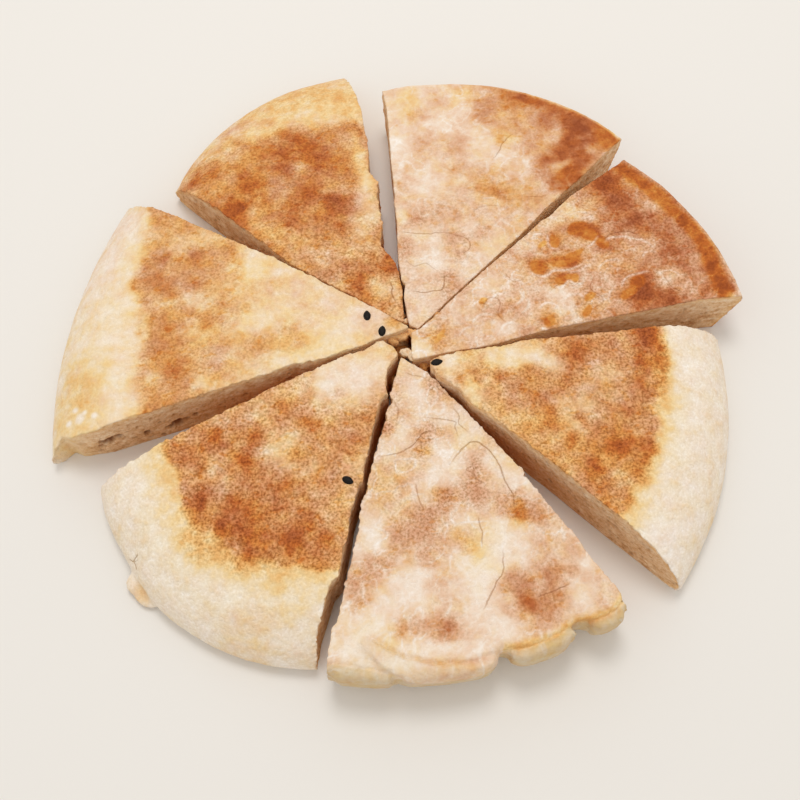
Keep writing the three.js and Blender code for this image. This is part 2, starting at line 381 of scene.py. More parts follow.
    set_attribute(piece.data, "tone", tone)
    set_attribute(piece.data, "flour", flour)
    set_attribute(piece.data, "bare", bare)
    cut *= 1 - cover(points, *uncut) if uncut else 1
    from_tip = np.hypot(points[:, 0], points[:, 1])
    # Painted shade: the crumb low on the cut faces near the tips, deep between the wedges, is painted a warm
    # orange brown.
    warm_shade = (1 - fade(from_tip, 18, 92)) * (1 - fade(points[:, 2] / thickness, 0.3, 1.05))
    set_attribute(piece.data, "warm_shade", 0.95 * warm_shade)
    set_attribute(piece.data, "grain", grain[0] + (grain[1] - grain[0]) * fade(from_tip, 15, 90))
    set_attribute(piece.data, "crumb", cut)
    set_attribute(piece.data, "pit", cut * pit)
    set_attribute(piece.data, "height", points[:, 2] / thickness)
    set_attribute(piece.data, "rind", cut * np.exp(-((to_crust / 1.7) ** 2)))
    set_attribute(piece.data, "ridge", ridge * crust)
    set_attribute(piece.data, "vein", vein * crust)
    set_attribute(piece.data, "crack_offset", offset)
    set_attribute(piece.data, "crack_strength", strength * crust)
    select_only(piece)
    bpy.ops.object.shade_smooth()
    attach(piece, "root")
    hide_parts(node)
    return piece


def linear(red, green, blue):
    """A colour as it looks, from 0 to 255, turned into the light that a material reflects."""
    def channel(value):
        value /= 255
        return value / 12.92 if value <= 0.04045 else ((value + 0.055) / 1.055) ** 2.4

    return (channel(red), channel(green), channel(blue), 1.0)


class Nodes:
    """A material's node tree, built by short calls."""

    def __init__(self, name):
        self.material = bpy.data.materials.new(name)
        self.material.use_nodes = True
        self.tree = self.material.node_tree
        self.shader = self.tree.nodes["Principled BSDF"]
        self.place = self.tree.nodes.new("ShaderNodeTexCoord").outputs["Object"]

    def put(self, socket, value):
        if isinstance(value, bpy.types.NodeSocket):
            self.tree.links.new(value, socket)
        else:
            socket.default_value = value

    def attribute(self, name):
        node = self.tree.nodes.new("ShaderNodeAttribute")
        node.attribute_name = name
        return node.outputs["Fac"]

    def noise(self, size, detail=2.0, roughness=0.5, place=None):
        """Noise with bumps of about this size in millimetres."""
        node = self.tree.nodes.new("ShaderNodeTexNoise")
        self.put(node.inputs["Vector"], place or self.place)
        node.inputs["Scale"].default_value = 1 / (size * MM)
        node.inputs["Detail"].default_value = detail
        node.inputs["Roughness"].default_value = roughness
        return node.outputs["Fac"]

    def stretched(self, x, y, z):
        node = self.tree.nodes.new("ShaderNodeMapping")
        node.inputs["Scale"].default_value = (x, y, z)
        self.put(node.inputs["Vector"], self.place)
        return node.outputs["Vector"]

    def shifted(self, distance):
        node = self.tree.nodes.new("ShaderNodeMapping")
        node.inputs["Location"].default_value = (distance, distance, distance)
        self.put(node.inputs["Vector"], self.place)
        return node.outputs["Vector"]

    def maths(self, operation, first, second=0.0, third=0.0):
        node = self.tree.nodes.new("ShaderNodeMath")
        node.operation = operation
        for socket, value in zip(node.inputs, (first, second, third)):
            self.put(socket, value)
        return node.outputs[0]

    def spread(self, value, low, high, to_low=0.0, to_high=1.0):
        node = self.tree.nodes.new("ShaderNodeMapRange")
        node.interpolation_type = "SMOOTHSTEP"
        for socket, given in zip(node.inputs, (value, low, high, to_low, to_high)):
            self.put(socket, given)
        return node.outputs[0]

    def mix(self, share, first, second):
        node = self.tree.nodes.new("ShaderNodeMix")
        node.data_type = "RGBA"
        for name, value in (("Factor_Float", share), ("A_Color", first), ("B_Color", second)):
            socket = next(s for s in node.inputs if s.identifier == name)
            self.put(socket, value)
        return next(s for s in node.outputs if s.identifier == "Result_Color")

    def multiply(self, share, colour, factors):
        """A colour darkened or lightened channel by channel, as far as the share says."""
        shaded = self.mix(share, colour, factors)
        shaded.node.blend_type = "MULTIPLY"
        return shaded

    def ramp(self, value, stops):
        """A colour for each value between the first stop's and the last's."""
        node = self.tree.nodes.new("ShaderNodeValToRGB")
        ramp = node.color_ramp
        first, last = stops[0][0], stops[-1][0]
        for position, _ in stops[1:-1]:
            ramp.elements.new((position - first) / (last - first))
        for element, (position, colour) in zip(ramp.elements, stops):
            element.position = (position - first) / (last - first)
            element.color = colour
        share = self.maths("DIVIDE", self.maths("SUBTRACT", value, first), last - first)
        self.put(node.inputs["Fac"], share)
        return node.outputs["Color"]

    def bump(self, height, distance, strength=1.0, normal=None):
        node = self.tree.nodes.new("ShaderNodeBump")
        node.inputs["Distance"].default_value = distance * MM
        node.inputs["Strength"].default_value = strength
        self.put(node.inputs["Height"], height)
        if normal is not None:
            self.put(node.inputs["Normal"], normal)
        return node.outputs["Normal"]


# The crust from pale to deep brown, where it lay bare on the hot pan and where flour lay between.
PAN_COLOURS = (
    (-0.20, linear(246, 235, 216)),
    (0.00, linear(238, 219, 188)),
    (0.15, linear(236, 205, 150)),
    (0.30, linear(231, 184, 118)),
    (0.45, linear(222, 163, 94)),
    (0.60, linear(211, 143, 74)),
    (0.75, linear(201, 123, 55)),
    (0.90, linear(185, 99, 39)),
    (1.10, linear(157, 78, 32)),
)
FLOURED_COLOURS = (
    (-0.20, linear(246, 237, 227)),
    (0.00, linear(239, 221, 203)),
    (0.15, linear(233, 203, 177)),
    (0.30, linear(225, 184, 152)),
    (0.45, linear(215, 165, 130)),
    (0.60, linear(204, 147, 110)),
    (0.75, linear(192, 127, 90)),
    (0.90, linear(177, 106, 69)),
    (1.10, linear(150, 80, 50)),
)
CRUMB_COLOURS = (
    (0.00, linear(184, 130, 84)),
    (0.35, linear(219, 176, 130)),
    (0.65, linear(235, 201, 162)),
    (1.00, linear(248, 226, 196)),
)
RIND_COLOUR = linear(232, 184, 118)
WARM_SHADE_COLOUR = linear(222, 138, 62)
PIT_SHADE_COLOUR = linear(112, 60, 28)
VEIN_COLOUR = linear(246, 228, 214)
# What a speck, a painted glint, bare crust, a crack and painted wall shade leave of each colour channel.
PALE_SPECK = (0.46, 0.43, 0.36, 1.0)
BROWN_SPECK = (0.42, 0.28, 0.08, 1.0)
PAINTED_GLINT = (1.45, 1.7, 2.2, 1.0)
BARE_TINT = (1.0, 0.94, 0.62, 1.0)
CRACK_TINT_AND_SHADE = (0.6, 0.5, 0.42, 1.0)
WALL_SHADE_TINT = (0.8, 0.79, 0.78, 1.0)


def bread_material(name, specks, painted_glints, mottling):
    """Baked dough. The crust goes from cream to brown with fine dark specks, paler and pinker under flour,
    and the crumb of the cut faces is torn and pored. Pale glints on the crust are painted highlights.
    Painted shade darkens the pits, the rim's wall and, with their own browning, the cracks. The crumb is
    painted warmer and darker low near the tips and lighter towards the top of each cut face: painted shade
    and light."""
    made = Nodes(name)
    tone = made.attribute("tone")
    toasted = made.spread(tone, 0.04, 0.4)
    patches = made.maths("SUBTRACT", made.noise(6.0, detail=2.0, roughness=0.75), 0.5)
    depth = made.maths("MULTIPLY_ADD", toasted, 0.35 * mottling, 0.65 * mottling)
    browned = made.maths("MULTIPLY_ADD", patches, depth, tone)
    beads = made.noise(3.0, detail=1.5, place=made.stretched(1.0, 1.4, 1.0))
    spots = made.maths("MULTIPLY", made.spread(beads, 0.58, 0.7), toasted)
    browned = made.maths("MULTIPLY_ADD", spots, 0.13, browned)
    ridge = made.attribute("ridge")
    browned = made.maths("MULTIPLY_ADD", ridge, -0.27, browned)

    # The cracks are painted browner and darker: partly the crust's own colour there, partly painted shade in
    # the groove.
    crack = made.spread(made.maths("ABSOLUTE", made.attribute("crack_offset")), 0.07, 0.3, 1.0, 0.0)
    crack = made.maths("MULTIPLY", crack, made.attribute("crack_strength"))
    browned = made.maths("MULTIPLY_ADD", crack, 0.12, browned)

    veil = made.maths("SUBTRACT", made.noise(5.5, detail=1.5, roughness=0.7, place=made.shifted(0.3)), 0.5)
    flour = made.maths("MULTIPLY_ADD", veil, 1.7, made.attribute("flour"))
    flour = made.maths("MULTIPLY_ADD", spots, -0.35, flour)
    flour = made.maths("MULTIPLY_ADD", ridge, 0.6, flour)
    crust = made.mix(flour, made.ramp(browned, PAN_COLOURS), made.ramp(browned, FLOURED_COLOURS))
    crust = made.mix(made.maths("MULTIPLY", made.attribute("vein"), 0.36), crust, VEIN_COLOUR)

    grain = made.noise(0.8, detail=2.0, roughness=0.6)
    covered = made.maths("SUBTRACT", 1.0, made.attribute("bare"))
    coarse = made.maths("MULTIPLY", covered, made.attribute("grain"))
    baked = made.spread(tone, 0.08, 0.48, 0.14 * specks, specks)
    dark = made.maths("MULTIPLY", made.spread(grain, 0.42, 0.72), baked)
    speck = made.mix(made.spread(tone, 0.0, 0.6), PALE_SPECK, BROWN_SPECK)
    crust = made.multiply(made.maths("MULTIPLY", dark, coarse), crust, speck)
    # Painted highlights: pale glints where the grain is low lighten the colour itself, more strongly on
    # browner crust.
    glint_highlight = made.spread(tone, 0.1, 0.6, 0.3 * painted_glints, painted_glints)
    light = made.maths("MULTIPLY", made.spread(grain, 0.5, 0.3), glint_highlight)
    crust = made.multiply(made.maths("MULTIPLY", light, coarse), crust, PAINTED_GLINT)
    crust = made.multiply(made.attribute("bare"), crust, BARE_TINT)
    crust = made.multiply(made.maths("MULTIPLY", crack, 0.8), crust, CRACK_TINT_AND_SHADE)
    # Painted shade: where the mesh marks it, the wall of the swollen rim is darkened as if in shade.
    crust = made.multiply(made.attribute("painted_wall_shade"), crust, WALL_SHADE_TINT)

    torn = made.noise(2.4, detail=4.0, roughness=0.75, place=made.stretched(0.6, 0.6, 1.0))
    holes = made.noise(0.9, detail=2.0, roughness=0.55)
    crumb_tone = made.maths("MULTIPLY_ADD", torn, 2.2, made.maths("MULTIPLY", holes, 0.8))
    # Painted shade and light: the crumb is painted lighter towards the top of each cut face and darker
    # towards its foot.
    crumb_tone = made.maths("MULTIPLY_ADD", made.attribute("height"), 0.3, crumb_tone)
    crumb = made.ramp(made.maths("SUBTRACT", crumb_tone, 1.12), CRUMB_COLOURS)
    # Painted warm shade is mixed into the crumb here.
    crumb = made.mix(made.attribute("warm_shade"), crumb, WARM_SHADE_COLOUR)
    crumb = made.mix(made.maths("MULTIPLY", made.attribute("rind"), 0.65), crumb, RIND_COLOUR)
    # Painted shade: the pits of the crumb are painted dark brown, on top of the shade that their depth
    # casts.
    crumb = made.mix(made.attribute("pit"), crumb, PIT_SHADE_COLOUR)

    inside = made.attribute("crumb")
    made.put(made.shader.inputs["Base Color"], made.mix(inside, crust, crumb))
    dry = made.maths("ADD", inside, flour)
    made.put(made.shader.inputs["Roughness"], made.spread(dry, 0.0, 1.0, 0.55, 0.9))
    made.shader.inputs["Specular IOR Level"].default_value = 0.12
    rough = made.bump(grain, 0.4, strength=0.8)
    rough = made.bump(patches, 1.6, strength=0.5, normal=rough)
    rough = made.bump(made.maths("MULTIPLY", crack, -1.0), 0.3, strength=0.7, normal=rough)
    made.put(made.shader.inputs["Normal"], rough)
    return made.material


toasted_crust = bread_material("toasted_crust", specks=0.72, painted_glints=0.42, mottling=0.9)
floured_crust = bread_material("floured_crust", specks=0.68, painted_glints=0.34, mottling=0.75)
cream_crust = bread_material("cream_crust", specks=0.72, painted_glints=0.38, mottling=0.8)


def far_left_paint(points):
    moved = warped(points, 1.2, 100)
    zone = inside_circle(moved, (-20, 40), 52.5, 2.5)
    tone = daubed(moved, 0.25 + 0.31 * zone, [
        (-30, 40, 5, 0.42, 1.6, -45), (-22, 98, 5, 0.18, 2.5, 0), (-64, 75, 8, 0.55), (-67, 73, 4, 0.7),
        (-61, 77, 3, 0.64), (-52, 84, 5, 0.46), (-38, 82, 6, 0.72), (-37, 81, 2.5, 0.84),
        (-35, 88, 3, 0.66), (-38, 74, 2.5, 0.78, 1.5, 90), (-30, 84, 3, 0.72),
        (-26, 80, 4.5, 0.84, 1.7, -68), (-18, 75, 4, 0.68, 1.6, -75), (-20, 88, 3, 0.6),
        (-10, 88, 3, 0.66, 1.6, -70), (-48, 69, 3.5, 0.74, 1.7, -75), (-45, 75, 2.5, 0.62),
        (-57, 70, 2.5, 0.4, 1.9, 85), (-54, 58, 4, 0.94), (-50, 54, 4, 0.76), (-62, 66, 3, 0.5),
        (-31, 72, 3, 0.38, 1.4, 60), (-36, 65, 3, 0.38, 1.3, 50), (-28, 64, 5, 0.78, 1.3, -70),
        (-31, 54, 5, 0.7, 1.5, 80), (-24, 53, 5, 0.66), (-17, 57.5, 4, 0.82, 1.3, 0), (-38, 56, 3, 0.7),
        (-20, 48, 5, 0.68), (-33, 49, 3, 0.72), (-18, 65, 2.5, 0.48), (-22, 71, 4, 0.66),
        (-27, 44, 2.5, 0.5), (-42, 50, 4, 0.42, 1.7, -50), (-37, 46, 3.5, 0.38),
        (-30, 38, 7, 0.42, 1.4, -45), (-22, 33, 4, 0.38), (-15, 34, 2.5, 0.4), (-12, 39, 6, 0.4, 1.5, 0),
        (-9, 78, 3, 0.2, 1.8, 88), (-13, 84, 3, 0.4, 1.6, 80), (-7, 67, 3.5, 0.1, 1.5, 75),
        (-7, 55, 4, 0.17, 1.6, 85), (-10, 46, 3.5, 0.28, 1.5, 90), (-7, 38, 4, 0.28, 1.3, 30),
        (-6, 31, 6, 0.66, 1.4, 0), (0, 32, 3, 0.82), (-10, 24, 3.5, 0.84, 1.5, 85), (-14, 30, 3, 0.6),
        (-3, 22, 4, 0.24, 1.5, -55), (-12, 19, 3, 0.6), (-5, 15, 3, 0.5), (0, 12, 2.5, 0.3),
        (-18, 25, 3, 0.34), (-37, 40, 2, 0.6),
    ])
    flour = daubed(moved, 0.42, [
        (-20, 105, 9, -0.2, 3.5, 0), (-50, 88, 10, 0.1, 1.6, 45), (-52, 66, 9, 0.12, 2.0, -60),
        (-34, 70, 6, 0.7), (-13, 59, 5, 0.9), (-22, 32, 5, 0.8), (-38, 46, 5, 0.1, 1.8, -50),
        (-10, 75, 5, 0.1, 1.5, 80), (-56, 98, 6, 0.7), (-4, 18, 6, 0.3),
    ])
    return tone, flour, 0 * tone


far_left = bread_wedge(
    "wedge_far_left",
    "far_left_wedge",
    thickness=18,
    paint=far_left_paint,
    grain=(1.1, 0.8),
    cracks=[
        (0.9, [(-1.5, 27), (-0.6, 24), (-1, 22), (0.4, 18)]),
        (0.4, [(-12, 93), (-9, 90), (-9, 84)]),
    ],
    seed=11,
)
far_left.data.materials.clear()
far_left.data.materials.append(toasted_crust)


# ------------------------------------------------------------------------------------------------------
# The wedge at the far side: it lies turned over, with the flat side up, which is dusted with flour and
# browned along the rim. It is bread right through, cut on both sides, and lies loose like the others. Its
# skin is made like the first wedge's, and is wrinkled too.


def far_paint(points):
    moved = warped(points, 1.1, 200)
    rim = 84.9 - np.hypot(points[:, 0] - 18.8, points[:, 1] - 24.2)
    tone = 0.04 + daubed(moved, 0.19 + np.zeros(len(points)), [
        (71, 74, 5, 0.8), (14, 88, 7, 0.22), (5, 97, 6, 0.08, 1.3, 90), (4, 82, 5, 0.0, 1.6, 88),
        (13, 105, 6, 0.12), (20, 101, 2.5, 0.22), (20, 95.5, 4, 0.28, 1.8, 0), (12, 95, 2.5, 0.32),
        (5, 92, 3, 0.2), (20, 90, 5, 0.06, 1.3, 0), (28, 97, 4, 0.08, 1.4, 80), (24, 79, 5, 0.32, 1.3, 90),
        (13, 81, 3, 0.3), (17, 80, 3, 0.24), (24, 71, 3, 0.3), (38, 79, 5, 0.08, 1.7, -50),
        (47, 86, 8, 0.34), (44, 91, 4, 0.42), (36, 92, 3, 0.42), (43, 97, 6, 0.48, 1.5, 0),
        (37, 97, 3.5, 0.54), (50, 95, 5, 0.5), (32, 105, 3, 0.3), (38, 104, 3, 0.42), (46, 101, 4, 0.64),
        (60, 91, 5, 0.68), (57, 87, 4, 0.62), (66, 90, 4, 0.75), (69, 86, 4, 0.85), (74, 80, 5, 0.82),
        (66, 79, 3.8, 0.97, 1.6, 80), (63, 73, 5, 0.84, 1.3, 0), (70, 80, 1.8, 0.66, 1.4, 60),
        (73, 84, 3, 0.96, 1.5, -55), (75, 77, 3, 0.75), (72, 74, 3, 0.56), (55, 71, 3, 0.74),
        (67, 70, 3, 0.8), (63, 65, 4.5, 0.92), (58, 63, 4, 0.74), (54, 66, 3, 0.52),
        (60, 69, 1.5, 0.3, 2.6, 15), (40, 60, 4.5, 0.56, 1.7, -15), (33, 65, 3.5, 0.42, 1.3, -40),
        (51, 61, 3, 0.3), (52, 78, 4, 0.4), (54, 83, 3, 0.42), (13, 61, 6, 0.08, 1.3, 30),
        (13, 67, 4, 0.09), (4, 63, 3, 0.24), (5, 58, 3, 0.2), (20, 54, 5, 0.3, 1.5, 10),
        (9, 47, 4, 0.32, 1.4, 0), (10, 50, 3, 0.42, 1.3, 80), (4, 51, 2, 0.08), (28, 60, 4, 0.25),
        (33, 53, 6, 0.26), (37, 60.5, 2.2, 0.62, 2.6, -8), (45, 55, 7, 0.33), (22, 39, 5, 0.33, 1.2, 0),
        (25, 35, 3, 0.34), (30, 43, 3, 0.34), (27, 46, 2, 0.14), (8, 42, 5, 0.1, 1.6, 0), (13, 34, 6, 0.08),
        (13, 31, 2.5, 0.0), (3, 38, 3, 0.36, 1.3, 70), (33, 34, 5, 0.1, 1.4, 45), (24, 27, 4, 0.12),
        (18, 23, 3, 0.32, 1.6, 80), (17, 18, 2, 0.38), (10, 17, 5, 0.14, 1.3, 20), (6, 12, 4, 0.12),
    ])
    band = 0.5 ** ((np.abs(rim - 3.2) / 1.9) ** 3) * fade(points[:, 0], 38, 50)
    tone += (0.8 - tone) * band
    tone += (0.36 - tone) * 0.85 * (1 - fade(rim, 0.9, 1.9)) * fade(points[:, 0], 30, 50)
    flour = daubed(moved, 0.84, [
        (30, 55, 7, 0.95), (8, 34, 12, 0.95, 1.6, 90), (8, 101, 6, 0.2), (28, 103, 5, 0.35),
        (20, 88, 5, 1.0), (31, 86, 6, 1.0), (5, 79, 4, 1.1), (42, 85, 6, 0.3), (6, 65, 5, 0.9),
        (38, 61, 7, 0.25, 1.5, -20), (62, 65, 5, 0.25), (60, 78, 6, 0.6), (78, 80, 5, 0.0),
        (71, 80, 3, 0.9), (53, 70, 4, 0.8), (62, 99, 6, 0.4, 3.0, -35), (38, 38, 4, 0.45, 2.0, 45),
        (3, 52, 3, 0.55), (31, 44, 5, 0.9), (46, 96, 6, 0.35),
    ])
    return tone, flour, 0 * tone


far = bread_wedge(
    "wedge_far",
    "far_wedge",
    thickness=18.5,
    paint=far_paint,
    grain=(1.2, 0.4),
    cracks=[
        (0.6, [(37, 73), (40, 77), (41, 80), (46, 84)]),
        (0.8, [(4.5, 21.6), (9, 21), (14, 21.2), (16.4, 23), (17, 28.5)]),
        (0.6, [(2.5, 44.8), (8, 44.2), (14, 43.8), (22, 43.4)]),
        (0.5, [(18, 43), (22, 42.5), (26, 40), (25, 36), (20, 35)]),
        (0.4, [(4, 34), (7, 31), (11, 32), (15, 28)]),
        (0.4, [(46, 57), (50, 56), (54, 56.5)]),
        (0.4, [(28, 52), (33, 54), (38, 53)]),
    ],
    wrinkled=0.75,
    crumbly=0.12,
    rounding=16,
    seed=22,
)
far.data.materials.clear()
far.data.materials.append(floured_crust)


# ------------------------------------------------------------------------------------------------------
# The wedge at the far right: bread that lies turned over too, with a dark orange band along the rim and
# flour in thin veins. The few crisp orange patches are bare crust that touched the hot pan, and are painted
# last, with sharp rims.

BARE_PATCHES = [  # x, y, radius, tone, stretch, turn
    (47.7, 26.7, 2.5, 0.62, 1.15, 0), (55.4, 27.6, 1.4, 0.7, 1.9, 2), (58.8, 29.4, 1.5, 0.7, 1.8, 28),
    (61.6, 31.3, 0.8, 0.66, 2.2, 34), (54.1, 20.9, 1.5, 0.68, 1.2, 30), (56.8, 22.6, 0.9, 0.6, 1.9, 20),
    (59.3, 22.4, 1.3, 0.58, 1.2, -40), (54.1, 36.6, 1.4, 0.6, 2.0, -78), (50.3, 36.0, 0.9, 0.52, 1.7, 40),
    (62.8, 41.4, 2.3, 0.8, 1.5, 10), (66.6, 38.8, 2.4, 0.8, 1.6, -38), (70.2, 34.9, 1.9, 0.78, 1.5, -64),
    (63.3, 14.8, 1.2, 0.6, 2.2, 22), (62.2, 9.4, 1.2, 0.7, 2.3, 62), (49.3, 6.4, 1.2, 0.56, 2.3, 64),
    (79.3, 18.9, 2.2, 0.88, 1.5, 60), (76.0, 15.2, 1.7, 0.7, 1.7, 20), (29.0, 15.6, 0.9, 0.54, 1.8, 30),
    (13.4, 3.4, 1.0, 0.42, 2.8, 62),
]


def far_right_paint(points):
    moved = warped(points, 1.0, 300)
    crisp = warped(points, 0.7, 310)
    rim = 96.5 - np.hypot(points[:, 0] - 17.6, points[:, 1] + 2.9)
    tone = daubed(moved, 0.31 + 0.31 * fade(moved[:, 0] + 0.2 * moved[:, 1], 66, 84), [
        (7, -1, 4, 0.08), (8, 4, 3, 0.18), (14, 4, 2.6, 0.46, 2.2, 75), (21, 12, 6, 0.2),
        (31, 20, 4, 0.12, 1.6, 60), (38, 24, 2, 0.32), (33, 14, 4, 0.38, 1.3, 20), (34, 5, 4, 0.14),
        (24, 5, 5, 0.22), (43, 12, 4, 0.32), (49, 6.5, 2.5, 0.54), (53, 19, 3.5, 0.18, 1.8, 80),
        (55, 12, 3, 0.2), (63, 14, 3, 0.5, 1.4, 70), (62, 9, 3, 0.66), (66, 20, 5, 0.32, 2.0, 80),
        (59, 46, 4, 0.28, 1.4, 20), (48, 38, 5, 0.3), (55, 43, 3, 0.3), (68, 51, 3, 0.38),
        (52, 38, 3, 0.45), (54, 36, 2.8, 0.72, 1.3, 80), (47.5, 27, 3.2, 0.84), (57, 29, 2.6, 0.84, 2.2, 6),
        (61, 31, 2, 0.72), (55, 22, 2.4, 0.74, 1.3, 20), (59, 23, 1.8, 0.68, 1.6, 60), (61, 38, 3, 0.45),
        (65, 40, 3.6, 0.94, 1.4, -15), (69, 36, 3.2, 1.02, 1.4, -60), (74, 39, 2.5, 0.42), (65, 34, 3, 0.4),
        (76.5, 34.4, 3.4, 0.7, 1.6, 10), (72, 29, 4, 0.5), (75, 25, 3, 0.44), (80, 28, 3, 0.4),
        (75, 59, 4.5, 1.05), (72, 62, 3, 0.9), (68, 57, 2.5, 0.68), (77, 53, 4, 0.9, 1.2, 80),
        (84, 56, 2.8, 0.56, 2.0, -60), (86, 48, 4, 0.46, 1.3, 0), (81, 49, 3, 0.5),
        (83, 42, 5, 0.82, 1.3, 0), (88, 40, 3, 0.74), (81, 34, 4, 0.42), (86, 31, 3, 0.5),
        (92, 35, 3, 0.74), (97, 24, 6, 0.68), (92, 29, 3.5, 0.86, 1.3, -60), (99, 27, 2.5, 0.52, 1.3, 80),
        (97, 37, 3, 0.54), (86, 23, 3, 0.5), (84, 18, 2, 0.5), (90, 21, 3.5, 0.36, 1.4, 60),
        (93, 17, 3, 0.44), (78, 13, 3, 0.8), (84, 12, 3, 0.72), (88, 13, 3.5, 0.86),
        (80, 17, 4, 1.05, 1.2, 80), (76, 20, 3, 0.7), (97, 13, 3, 0.55), (102, 15, 2.5, 0.7),
        (79, 50, 3.5, 0.9), (63, 17, 3.5, 0.46, 1.8, 70), (30, 15, 3, 0.3), (9, 4, 2, 0.36),
    ])
    y = points[:, 1]
    middle = 5.4 - 1.4 * fade(y, 22, 32) + 0.7 * fade(y, 38, 46)
    band = 0.5 ** ((np.abs(rim - middle) / 2.3) ** 3) * fade(y, 8, 12)
    tone += (0.94 - 0.1 * fade(y, 24, 32) - 0.06 * fade(y, 36, 44) - tone) * 0.95 * band
    tone += (0.3 + 0.25 * fade(y, 20, 40) - tone) * 0.9 * (1 - fade(rim, 0.9, 2.0))
    tone = daubed(points, tone, [(109.5, 10.5, 2.6, 0.2)])
    flour = daubed(moved, 0.88, [
        (8, 0, 6, 0.4), (93, 30, 7, 1.05, 1.6, 80), (75, 45, 6, 0.95), (56, 17, 5, 1.0),
        (60, 48, 8, 0.55, 1.8, 35), (47.5, 27, 3.6, 0.0), (57, 29, 3, 0.15, 2.2, 6),
        (55, 22, 3, 0.2, 1.4, 20), (54, 36, 3, 0.3), (66, 39, 4, 0.4), (75, 59, 5, 0.35), (75, 27, 5, 0.5),
        (79, 16, 5, 0.55), (34, 6, 4, 1.0), (49, 7, 3, 0.3), (62, 11, 4, 0.5), (14, 3, 3, 0.3),
    ])
    flour += (-0.2 - flour) * band
    bare = 0.4 * band
    for x, y, radius, shade, stretch, turn in BARE_PATCHES:
        share = cover(crisp, x, y, radius, stretch, turn, CRISP_EDGE)
        tone += (shade + 0.16 * (1 - share) - tone) * share
        flour += (-0.3 - flour) * share
        bare = np.maximum(bare, 0.6 * share)
    return tone, flour, bare


far_right = bread_wedge(
    "wedge_far_right",
    "far_right_wedge",
    thickness=20.5,
    paint=far_right_paint,
    grain=(0.8, 0.8),
    cracks=[
        (0.6, [(70, 36), (74, 38.5), (79, 38.5), (83, 36)]),
        (0.5, [(28, 11), (30, 16), (34, 15), (33, 10), (36, 6)]),
        (0.5, [(66, 22), (64, 18), (67, 14), (66, 10)]),
        (0.4, [(50, 17), (54, 20), (58, 19), (62, 22)]),
        (0.4, [(36, 26), (39, 22), (43, 23)]),
        (0.4, [(88, 22), (90, 17), (94, 14)]),
    ],
    veins=[
        (1.0, [(70.5, 34.5), (72.5, 36.5), (75.4, 36.9), (81, 35.8), (84.5, 34.2), (87, 31)]),
        (0.9, [(73.4, 17.5), (74.4, 19.6), (76.5, 21.3), (80.7, 22.6), (84, 22.8)]),
        (0.8, [(52.6, 39.8), (51.8, 37.5), (52.6, 34.5), (55.5, 33.6)]),
        (0.9, [(44.6, 28), (45, 25.2), (46.8, 23.8), (50, 23.6), (52.5, 25), (56.5, 25), (60.7, 26.4),
               (64, 29)]),
        (0.9, [(52.5, 19.6), (54.2, 18.6), (55.6, 19.4), (57, 20.8), (58.6, 19.8), (61.2, 19.6), (62, 21)]),
        (0.7, [(56.5, 24.2), (60, 24.4), (63, 26), (66, 26.5)]),
        (0.8, [(63, 33.5), (66, 34.2), (68, 36), (69, 38)]),
        (0.9, [(30.7, 14.6), (32, 16.4), (33.6, 17.4), (36, 17)]),
        (0.9, [(33.3, 3.7), (34, 5.4), (35.8, 6.6), (38.5, 6.2)]),
        (0.8, [(40.5, 18.4), (41.6, 16.6), (40.7, 14.2), (38.6, 13.4)]),
        (0.8, [(39.6, 9.5), (41.6, 10.6), (43.4, 13), (43.2, 16)]),
        (0.8, [(24, 7), (26, 9.4), (29, 10.2), (31.5, 9)]),
        (0.7, [(20, 3), (21.5, 5.6), (24.5, 6.2)]),
        (0.7, [(36, 21), (38.5, 22.6), (41, 22), (42.4, 20)]),
        (0.7, [(46, 11), (48.4, 13), (51, 12.6), (52.4, 10.4)]),
        (0.8, [(67, 24.5), (69, 27), (72, 28), (75.5, 27)]),
        (0.7, [(69, 12), (69.6, 15.2), (71.4, 17.4)]),
        (0.7, [(54, 13.5), (56.5, 15.6), (60, 15.8), (61.6, 13.4)]),
        (0.6, [(60, 46), (63.5, 47.6), (67, 46.8)]),
        (0.6, [(82, 28), (84, 30.4), (87, 30)]),
    ],
    wrinkled=1.0,
    crumbly=0.12,
    rounding=16,
    seed=33,
)
far_right.data.materials.clear()
far_right.data.materials.append(toasted_crust)


# ------------------------------------------------------------------------------------------------------
# The wedge at the right: bread with its domed side up, toasted where the dome touched the pan, with a
# smooth cream rim. One black seed is baked into its tip, so the plain one there is levelled first.


